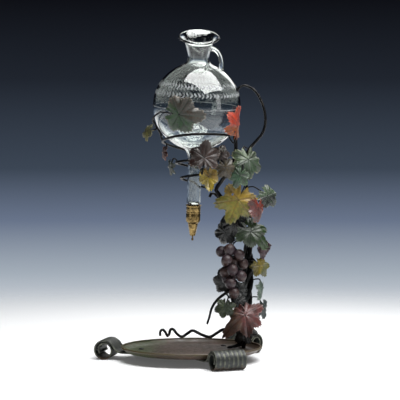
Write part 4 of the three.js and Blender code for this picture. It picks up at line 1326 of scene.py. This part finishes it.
@dataclass
class Dispenser:
    """The glass globe with its drip tube, and the push valve at its end, all on one leaning axis."""

    radius: float = 74.6 * MM
    wall: float = 2.6 * MM
    tube: float = 12.2 * MM
    tube_end: float = 8 * MM
    tube_end_wall: float = 1.6 * MM
    shoulder: float = -166.5 * MM
    end: float = -196.8 * MM
    neck_base: Point = (18.2 * MM, 84 * MM)
    neck_top: Point = (24.5 * MM, 109 * MM)
    lip: Point = (34.3 * MM, 117.2 * MM)
    slant: float = 15.0
    washer_below: float = 211.95 * MM
    travel: float = 4.1 * MM

    def frame_of_axis(self) -> Matrix:
        """The place of the globe's middle, z along its leaning axis and x towards its handle."""
        axis = Vector(next(j for j in frame["joints"] if j["name"] == "globe_lift")["axis"]).normalized()
        side = axis.cross(Vector((1, 0, 0))).normalized()
        ahead = side.cross(axis)
        low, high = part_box("valve_washer")
        middle = (low + high) / 2 + axis * self.washer_below
        return Matrix.Translation(middle) @ Matrix((ahead, side, axis)).transposed().to_4x4()

    def side(self, radius: float, tube: float, base: float, top: float, count: int) -> list[Point]:
        """One skin of the glass from the tube up to the neck.

        Args:
            radius: The globe's radius at this skin.
            tube: The tube's radius.
            base: The neck's radius at its foot.
            top: The neck's radius below the lip.
            count: Steps over the globe.

        Returns:
            The skin's points upwards.
        """
        leave = 0.36
        radial, axial = radius * math.sin(leave), radius * math.cos(leave)
        funnel = curve_between((tube, -radius - 18 * MM), (tube, -radius + 1.6 * MM), (radial, -axial), 10)
        ball = arc((0.0, 0.0), radius, math.degrees(leave) - 90, 90 - math.degrees(leave), count)
        shoulder = curve_between((radial, axial), (base, radius - 0.5 * MM), (base, self.neck_base[1]), 10)
        neck = curve_between((base, self.neck_base[1]), (base + 1.6 * MM, self.neck_base[1] + 12 * MM),
                             (top, self.neck_top[1]), 8)
        return [*funnel, *ball[1:], *shoulder[1:], *neck[1:]]

    def glass(self) -> bpy.types.Object:
        """Blow the globe in one piece with its tube, lip and handle, and slant its mouth."""
        thin = self.neck_top[0] - self.wall - 0.4 * MM
        outside = self.side(self.radius, self.tube, *[p[0] for p in (self.neck_base, self.neck_top)], 56)
        inside = self.side(self.radius - self.wall, self.tube - self.wall, self.neck_base[0] - self.wall,
                           thin, 56)
        under = curve_between(self.neck_top, (self.neck_top[0] + 2.5 * MM, self.lip[1] - 2.8 * MM),
                              (self.lip[0] - 1.0 * MM, self.lip[1] - 1.9 * MM), 8)
        roll = arc((self.lip[0] - 1.9 * MM, self.lip[1]), 1.9 * MM, -62, 98, 9)
        over = curve_between((self.lip[0] - 2.4 * MM, self.lip[1] + 1.8 * MM),
                             (self.neck_top[0] - 1 * MM, self.lip[1] + 0.6 * MM), (thin, self.neck_top[1]), 9)
        bore = self.tube_end - self.tube_end_wall
        profile = [(self.tube_end - 0.5 * MM, self.end), (self.tube_end, self.end + 0.5 * MM),
                   (self.tube_end, self.shoulder - 3 * MM),
                   *curve_between((self.tube_end, self.shoulder - 3 * MM),
                                  (self.tube_end, self.shoulder - 1 * MM),
                                  (self.tube, self.shoulder + 1.5 * MM), 5)[1:],
                   *outside, *under[1:], *roll, *over[:-1], *reversed(inside),
                   (self.tube - self.wall, self.shoulder - 0.5 * MM), (bore, self.shoulder - 3.5 * MM),
                   (bore, self.end), (self.tube_end - 0.5 * MM, self.end)]
        globe = turned("blown_globe", profile, 112)
        route = [Vector((x * MM, 0, z * MM)) for x, z in ((19.6, 98.4), (24, 97.8), (28.5, 95.8), (33, 91.6),
                                                          (36.3, 85.6), (38.2, 77.5), (39.0, 70), (39.2, 62.2))]
        handle = rod("glass_handle", eased(route),
                     lambda share: (3.5 + 0.9 * abs(2 * share - 1) ** 3) * MM, 6)
        modify(globe, "BOOLEAN", operation="UNION", object=handle, solver="EXACT")
        bpy.data.objects.remove(handle)
        slope = math.tan(math.radians(self.slant))
        for vertex in globe.data.vertices:
            vertex.co.z += step_up(vertex.co.z, self.neck_base[1], self.lip[1]) * slope * vertex.co.y
        smooth(globe, 60)
        return globe

    def ferrule(self) -> bpy.types.Object:
        """The brass cup on the end of the tube: a beaded lip, two turned lines and a stepped foot."""
        bore, radius = 11.9, 12.25
        bead = arc((radius + 0.1, -170.1), 1.1, 100, -90, 8)
        section = [(bore - 0.4, -169.0), *bead, (radius - 0.35, -172.4), (radius, -173.4), (radius, -180.0),
                   (radius - 0.3, -180.5), (radius, -181.0), (radius, -183.0), (radius - 0.3, -183.5),
                   (radius, -184.0), (radius, -196.0), (radius - 0.7, -197.6), (10.4, -199.0), (9.2, -200.4),
                   (7.0, -200.4), (7.0, -198.4), (bore - 0.4, -198.4), (bore - 0.4, -169.0)]
        return turned("brass_ferrule", [(r * MM, z * MM) for r, z in section], 72)

    def cone(self) -> bpy.types.Object:
        """The brass nozzle: a long taper, a small bead at its tip and the bore the valve works in."""
        section = [(6.6, -198.6), (6.7, -200.6), (8.7, -200.7), (8.95, -201.3), (8.6, -202.1), (8.3, -203.0),
                   (5.3, -219.6), (4.9, -220.4), (4.9, -221.2), (4.3, -222.3), (1.7, -222.5), (1.7, -213.2),
                   (4.6, -212.9), (4.6, -198.6), (6.6, -198.6)]
        return turned("brass_nozzle", [(r * MM, z * MM) for r, z in section], 64)

    def cork(self) -> bpy.types.Object:
        """The cork sleeve between tube and ferrule, bulging a little above the brass."""
        section = [(8.3, -196.8), (11.3, -196.8), (11.4, -171.0), (11.0, -169.6), (10.0, -169.2), (8.6, -169.6),
                   (8.3, -171.0), (8.3, -196.8)]
        return turned("cork_ring", [(r * MM, z * MM) for r, z in section], 48)

    def guide(self) -> bpy.types.Object:
        """The pierced disc that keeps the valve's stem central."""
        section = [(1.5, -199.4), (4.0, -199.4), (4.3, -199.1), (4.3, -198.5), (4.0, -198.2), (1.5, -198.2),
                   (1.5, -199.4)]
        return turned("stem_guide", [(r * MM, z * MM) for r, z in section], 40)

    def pin(self) -> bpy.types.Object:
        """The push pin: a rounded tip, its stem and the disc that shuts the seat."""
        section = [(0, -231.0), (1.0, -230.9), (1.6, -230.4), (1.9, -229.6), (1.9, -227.6), (1.6, -227.2),
                   (1.2, -227.0), (1.2, -210.9), (3.7, -210.9), (3.9, -210.7), (3.9, -210.1), (3.7, -209.9),
                   (1.2, -209.9), (1.2, -201.4), (0.8, -201.0), (0, -201.0)]
        return turned("push_pin", [(r * MM, z * MM) for r, z in section], 36)

    def washer(self) -> bpy.types.Object:
        """The leather washer under the disc, a little swollen."""
        section = [(1.5, -212.6), (3.6, -212.6), (3.85, -212.2), (3.85, -211.7), (3.6, -211.25), (1.5, -211.25),
                   (1.5, -212.6)]
        return turned("leather_washer", [(r * MM, z * MM) for r, z in section], 36)

    def spring(self) -> None:
        """The valve's coil spring, which the rising washer squeezes against the guide."""
        coil = bench_copy("valve_coil", frame["nodes"]["valve_spring"])
        coil.data.materials.clear()
        smooth(coil, 60)
        # Drawn spring wire, blued by heat
        steel = SprungSteel("blued_spring_wire").build()
        hand_over(coil, steel, Body.GLOBE, "spring_steel", "valve_spring")
        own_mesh(coil)

    def build(self) -> None:
        """Make, place and dress the globe and the parts of its valve."""
        place = self.frame_of_axis()
        where = {"centre": tuple(place.translation), "tilt": tuple(place.to_euler("XYZ"))}
        # Thin mouth-blown glass: grey-green in the thick of it, with dull white acid etching
        glass = EtchedGlass("etched_soda_glass", radius=self.radius, **where).build()
        # Old lacquer gone, brass gone golden brown with bright rubbed flanks
        brass = TurnedBrass("aged_turned_brass", **where).build()
        # A darker copy of the brass for the push pin
        dark_brass = TurnedBrass("darker_pin_brass", bright="6a5433", aged="2a221a", roughness=0.42,
                                 **where).build()
        cork = Pitted("bottle_cork").build()
        leather = Pitted("oiled_leather", light="5b3a24", dark="2a1a10", pore=0.5 * MM).build()
        pieces = [
            (self.glass(), glass, Body.GLOBE, "blown_glass",
             ("glass_globe", "glass_neck", "glass_tube", "glass_handle")),
            (self.ferrule(), brass, Body.GLOBE, "nozzle_brass", ("ferrule",)),
            (self.cone(), brass, Body.GLOBE, "nozzle_brass", ("nozzle_cone",)),
            (self.cork(), cork, Body.GLOBE, "cork", ("cork_sleeve",)),
            (self.guide(), brass, Body.GLOBE, "nozzle_brass", ("spring_guide",)),
            (self.pin(), dark_brass, Body.VALVE, "nozzle_brass", ("valve_pin",)),
            (self.washer(), leather, Body.VALVE, "washer_leather", ("valve_washer",)),
        ]
        for piece, material, body, slot, nodes in pieces:
            put(piece, place)
            hand_over(piece, material, body, slot, *nodes)
        self.spring()


# The studio


@dataclass
class Studio:
    """A plain pale floor, soft lights, and the camera."""

    aim: Space = (25 * MM, 0.0, 275 * MM)
    eye_height: float = 505 * MM
    distance: float = 4.0
    lens: float = 212.0

    def floor(self) -> None:
        """A pale floor that fades into the surroundings well away from the object."""
        clear_bench()
        bpy.ops.mesh.primitive_circle_add(vertices=96, radius=3.0, fill_type="NGON")
        floor = named("studio_floor")
        material = bpy.data.materials.new("studio_paper")
        material.use_nodes = True
        tree = material.node_tree
        shader = tree.nodes["Principled BSDF"]
        place = add_node(tree, "ShaderNodeTexCoord").outputs["Object"]
        reach = add_node(tree, "ShaderNodeVectorMath", {"operation": "LENGTH"}, {0: place})
        fade = add_node(tree, "ShaderNodeMapRange", {"interpolation_type": "SMOOTHSTEP", "From Min": 0.55,
                        "From Max": 1.5, "To Min": 1.0, "To Max": 0.0}, {"Value": reach.outputs["Value"]})
        fleck = add_node(tree, "ShaderNodeTexNoise", {"Scale": 40.0}, {"Vector": place})
        gloss = add_node(tree, "ShaderNodeMapRange", {"To Min": 0.42, "To Max": 0.5},
                         {"Value": fleck.outputs["Fac"]})
        shader.inputs["Base Color"].default_value = linear("f4f5f6")
        shader.inputs["Emission Color"].default_value = linear("ffffff")
        shader.inputs["Emission Strength"].default_value = 0.08
        tree.links.new(gloss.outputs["Result"], shader.inputs["Roughness"])
        tree.links.new(fade.outputs["Result"], shader.inputs["Alpha"])
        floor.data.materials.append(material)

    def surroundings(self) -> None:
        """A graded grey room, pale below and dark above."""
        world = bpy.data.worlds.new("studio_room")
        bpy.context.scene.world = world
        world.use_nodes = True
        tree = world.node_tree
        ground = tree.nodes["Background"]
        way = add_node(tree, "ShaderNodeTexCoord").outputs["Generated"]
        parts = add_node(tree, "ShaderNodeSeparateXYZ", {}, {0: way})
        share = add_node(tree, "ShaderNodeMapRange", {"From Min": -0.15, "From Max": 0.05},
                         {"Value": parts.outputs["Z"]})
        heights = {0.0: "ffffff", 0.13: "f0f3f7", 0.2: "dadfe5", 0.31: "a3adb8", 0.42: "68748a",
                   0.53: "3c4654", 0.72: "20252e", 0.9: "0d0e13"}
        stops = [(height, linear(code)) for height, code in heights.items()]
        ramp = add_node(tree, "ShaderNodeValToRGB", {"stops": stops}, {0: share.outputs["Result"]})
        ray = add_node(tree, "ShaderNodeLightPath")
        strength = add_node(tree, "ShaderNodeMapRange", {"To Min": 1.0, "To Max": 0.16},
                            {"Value": ray.outputs["Is Diffuse Ray"]})
        tree.links.new(ramp.outputs[0], ground.inputs["Color"])
        tree.links.new(strength.outputs["Result"], ground.inputs["Strength"])

    def light(self, name: str, where: Space, size: Point, power: float) -> None:
        """Hang one soft light, turned towards the object.

        Args:
            name: The light's name.
            where: Its place.
            size: Its width and height.
            power: Its power in watts.
        """
        clear_bench()
        bpy.ops.object.light_add(type="AREA", location=where)
        lamp = bpy.context.object
        lamp.name = name
        lamp.data.shape = "RECTANGLE"
        lamp.data.size, lamp.data.size_y = size
        lamp.data.energy = power
        lamp.rotation_euler = (Vector(self.aim) - Vector(where)).to_track_quat("-Z", "Y").to_euler()

    def camera(self) -> None:
        """Set the camera in front of the object, a little above it, looking slightly down."""
        clear_bench()
        where = Vector((self.aim[0], -self.distance, self.eye_height))
        bpy.ops.object.camera_add(location=where)
        camera = bpy.context.object
        camera.name = "studio_camera"
        camera.data.lens = self.lens
        camera.data.sensor_width = 36.0
        camera.rotation_euler = (Vector(self.aim) - where).to_track_quat("-Z", "Y").to_euler()
        bpy.context.scene.camera = camera

    def build(self) -> None:
        """Set up floor, surroundings, lights, camera and a plain, uncompressed view of the colours."""
        bpy.context.scene.view_settings.view_transform = "Standard"
        self.floor()
        self.surroundings()
        self.light("softbox_above", (0.35, -0.25, 1.5), (1.3, 1.6), 54.0)
        self.light("softbox_left", (-1.5, -1.3, 0.7), (0.5, 1.1), 4.0)
        self.light("softbox_right", (1.5, -0.9, 0.7), (0.4, 1.1), 3.0)
        self.light("softbox_behind", (0.5, 1.6, 1.2), (1.2, 0.8), 6.0)
        self.camera()


LEAVES = [
    VineLeaf("leaf_globe_front", (-19, -5), 84, 37 * MM, (-0.12, -0.15, 0.17),
             LeafPaint("leaf_oil_globe_front", "274224", "3d342d", "18261e", "192a1a", "736c5f"),
             "leaf_dark_green", toward=(0.8, 0.0, 0.9), spread=0.1),
    VineLeaf("leaf_globe_right", (72, -3), 172, 33 * MM, (-0.36, -0.1, 0.1),
             LeafPaint("leaf_oil_globe_right", "9c3623", "77461c", "7b271c", "5b2315", "a9553f"),
             "leaf_orange", toward=(0.0, 0.0, -1.0), holes=((-0.3, 0.28),)),
    VineLeaf("leaf_branch", (-50, 25), -60, 16 * MM, (-0.2, -0.2, 0.4),
             LeafPaint("leaf_oil_branch", "5e5b33", "424227", "2d2d1e", "2d2d1e", "79754d"), "leaf_olive"),
    VineLeaf("leaf_cradle_red", (-75, 5), 10, 14 * MM, (-0.25, -0.2, 0.4),
             LeafPaint("leaf_oil_cradle_red", "5c2a1e", "421f19", "2a1816", "2a1610", "794738"), "leaf_red"),
    VineLeaf("leaf_cradle_green", (-72, -5), -15, 16 * MM, (-0.2, -0.2, 0.4),
             LeafPaint("leaf_oil_cradle_green", "212d20", "2a3728", "131a14", "131a14", "474f43"),
             "leaf_dark_green"),
    VineLeaf("leaf_funnel", (4, 18), 172, 30 * MM, (-0.25, 0.1, 0.4),
             LeafPaint("leaf_oil_funnel", "2b1a17", "372721", "1c100d", "150c0a", "63544c"), "leaf_maroon"),
    VineLeaf("leaf_tube", (8, 8), 4, 22 * MM, (0.3, 0.2, 0.4),
             LeafPaint("leaf_oil_tube", "a89232", "8e6e2a", "7a6e2f", "6b5520", "615f2f"), "leaf_olive",
             toward=(0.5, 0.0, 1.0), lobes=(1.12, 0.86, 0.84, 1.0, 0.84, 0.86)),
    VineLeaf("leaf_elbow", (14, 4), 24, 19 * MM, (-0.3, -0.2, 0.4),
             LeafPaint("leaf_oil_elbow", "3d3526", "49402d", "252017", "201b13", "554e3b"), "leaf_maroon"),
    VineLeaf("leaf_shoulder", (28, 22), -6, 32 * MM, (-0.34, -0.2, 0.4),
             LeafPaint("leaf_oil_shoulder", "49583c", "33432f", "263527", "253024", "7d7b62"), "leaf_green",
             toward=(0.3, 0.0, -1.0), ruffle=0.09),
    VineLeaf("leaf_shoulder_low", (-2, 6), -22, 20 * MM, (-0.25, -0.25, 0.4),
             LeafPaint("leaf_oil_shoulder_low", "35503a", "4a6749", "223628", "1f3123", "7b8f70"),
             "leaf_green"),
    VineLeaf("leaf_yellow", (-4, 10), -22, 37 * MM, (-0.22, -0.1, 0.4),
             LeafPaint("leaf_oil_yellow", "987e32", "717336", "856d29", "6d5121", "6d6c4e"), "leaf_yellow",
             toward=(-0.4, 0.0, -1.0), holes=((-0.12, -0.3),), lobes=(1.12, 0.9, 0.95, 1.0, 1.0, 1.16)),
    VineLeaf("leaf_red", (52, 4), -4, 26 * MM, (-0.3, -0.1, 0.4),
             LeafPaint("leaf_oil_red", "6d2a1f", "523534", "60221a", "411611", "7e5e4f"), "leaf_red",
             toward=(-0.6, 0.0, -0.6)),
    # Its near-black second tone is a painted shadow on the leaf's lower part, placed there by toward pointing
    # down.
    VineLeaf("leaf_right", (34, 10), 46, 27 * MM, (-0.3, -0.1, 0.4),
             LeafPaint("leaf_oil_right_with_painted_shadow", "4a5a44", "16161a", "334132", "273328", "626958"), "leaf_green",
             toward=(0.3, 0.0, -1.0), grow=0.97),
    VineLeaf("leaf_broad", (8, 26), 52, 33 * MM, (-0.28, -0.22, 0.4),
             LeafPaint("leaf_oil_broad", "23331d", "263a19", "142111", "101c0f", "495340"), "leaf_green",
             toward=(1.0, 0.0, 0.4), holes=((-0.3, 0.14),),
             lobes=(1.1, 1.0, 1.0, 1.0, 0.95, 0.76)),
    VineLeaf("leaf_bud", (26, -8), 6, 20 * MM, (0.9, 0.15, 0.4),
             LeafPaint("leaf_oil_bud", "473739", "543e44", "2d2328", "261e21", "68585d"), "leaf_maroon",
             lobes=(1.1, 0.66, 0.6, 1.0, 0.6, 0.66)),
    # Painted shade: this leaf left of the trunk is painted near black where it lies in shadow.
    VineLeaf("leaf_dark_upper", (-48, 0), -20, 24 * MM, (-0.2, -0.1, 0.4),
             LeafPaint("painted_shade_leaf_upper", "0b0e12", "0e1214", "06080b", "06070a", "1a1d20"),
             "leaf_black"),
    VineLeaf("leaf_small_yellow", (16, 8), 34, 19 * MM, (-0.2, -0.1, 0.4),
             LeafPaint("leaf_oil_small_yellow", "766820", "414a27", "5d521c", "443a13", "555a33"),
             "leaf_yellow",
             toward=(1.0, 0.0, -0.4), spread=0.3),
    VineLeaf("leaf_side", (58, 4), -24, 18 * MM, (-0.7, -0.2, 0.4),
             LeafPaint("leaf_oil_side", "5d6c60", "45544d", "35453b", "2d3c36", "828783"), "leaf_green",
             lobes=(1.15, 0.6, 0.6, 1.0, 0.6, 0.6)),
    VineLeaf("leaf_olive", (-12, 10), -14, 20 * MM, (-0.3, -0.25, 0.4),
             LeafPaint("leaf_oil_olive", "424e2f", "303c27", "202a1f", "1d2615", "5f6048"), "leaf_olive"),
    VineLeaf("leaf_rose", (4, 24), 8, 35 * MM, (-0.6, -0.35, 0.4),
             LeafPaint("leaf_oil_rose", "643a37", "56402e", "4e2e2e", "392120", "795d59"), "leaf_rose",
             toward=(-1.0, 0.0, -0.3), spread=0.25, ruffle=0.1, lobes=(0.92, 0.9, 1.28, 1.0, 0.8, 1.3)),
    VineLeaf("leaf_low_side", (56, 0), 12, 19 * MM, (-0.2, -0.15, 0.4),
             LeafPaint("leaf_oil_low_side", "212b29", "2a3433", "161c1e", "13181b", "404746"),
             "leaf_dark_green"),
    # Painted shade: this leaf behind the grapes is painted near black where it lies in shadow.
    VineLeaf("leaf_dark_lower", (-52, 0), -50, 22 * MM, (-0.2, -0.1, 0.4),
             LeafPaint("painted_shade_leaf_lower", "0b0e12", "0e1214", "06080b", "06070a", "1a1d20"),
             "leaf_black"),
]


# Painted shade: a near-black paint for leaf sheets set only where the vine is in shade.
SHADE = LeafPaint("painted_shade_sheet", "0a0c0f", "0d1112", "050608", "040607", "16181a")
UMBER = LeafPaint("leaf_oil_umber", "382825", "45332e", "241815", "1e1312", "796862")

# Seven near-black leaf sheets of painted shade fill dark gaps by the trunk, grapes and root; one extra umber
# leaf sits by the funnel.
SHADE_SHEETS_AND_EXTRA_LEAF = [
    VineLeaf("leaf_dark_upper", (-8, 6), -10, 25 * MM, (-0.2, -0.2, 0.4), SHADE, "leaf_black",
             twin="shade_high", shift=(16, -30, 10)),
    VineLeaf("leaf_dark_upper", (-20, -4), -24, 24 * MM, (-0.25, -0.2, 0.4), SHADE, "leaf_black",
             twin="shade_middle", shift=(-1, -22, -10)),
    VineLeaf("leaf_dark_lower", (-14, 0), -36, 24 * MM, (-0.25, -0.25, 0.4), SHADE, "leaf_black",
             twin="shade_bunch", shift=(-5, -18, 4)),
    VineLeaf("leaf_dark_lower", (10, 0), 8, 24 * MM, (-0.25, -0.25, 0.4), SHADE, "leaf_black",
             twin="shade_grapes", shift=(29, -12, 26)),
    VineLeaf("leaf_dark_lower", (6, 4), 14, 20 * MM, (-0.3, -0.2, 0.4), SHADE, "leaf_black",
             twin="shade_low", shift=(20, -32, -10)),
    VineLeaf("leaf_dark_lower", (12, 12), 60, 20 * MM, (-0.3, -0.2, 0.4), SHADE, "leaf_black",
             twin="shade_rose", shift=(20, -38, -28)),
    VineLeaf("leaf_dark_lower", (0, 20), 20, 22 * MM, (-0.3, -0.3, 0.4), SHADE, "leaf_black",
             twin="shade_root", shift=(30, -32, -80)),
    VineLeaf("leaf_elbow", (6, 8), 160, 19 * MM, (-0.3, -0.3, 0.4), UMBER, "leaf_maroon",
             twin="umber_funnel", shift=(-9, 6, 20), ruffle=0.1),
]


def write_sizes() -> None:
    """Update the view layer."""
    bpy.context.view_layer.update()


def main() -> None:
    """Build the dispenser, sub-assembly by sub-assembly, and the studio round it."""
    logging.basicConfig(level=logging.INFO, format="%(name)s: %(message)s")
    Studio().build()
    # Wrought iron, hammered hot: near black, satin, dented, brown where it is handled
    iron = ForgedIron("forged_black_iron").build()
    tray = DripTray()
    tray.build()
    ScrollFeet().build(tray.centre, iron)
    vine = IronVine()
    vine.build(iron)
    Foliage().build(LEAVES + SHADE_SHEETS_AND_EXTRA_LEAF, iron, vine.surface())
    GrapeBunch().build(iron)
    Dispenser().build()
    write_sizes()


if __name__ == "__main__":
    main()
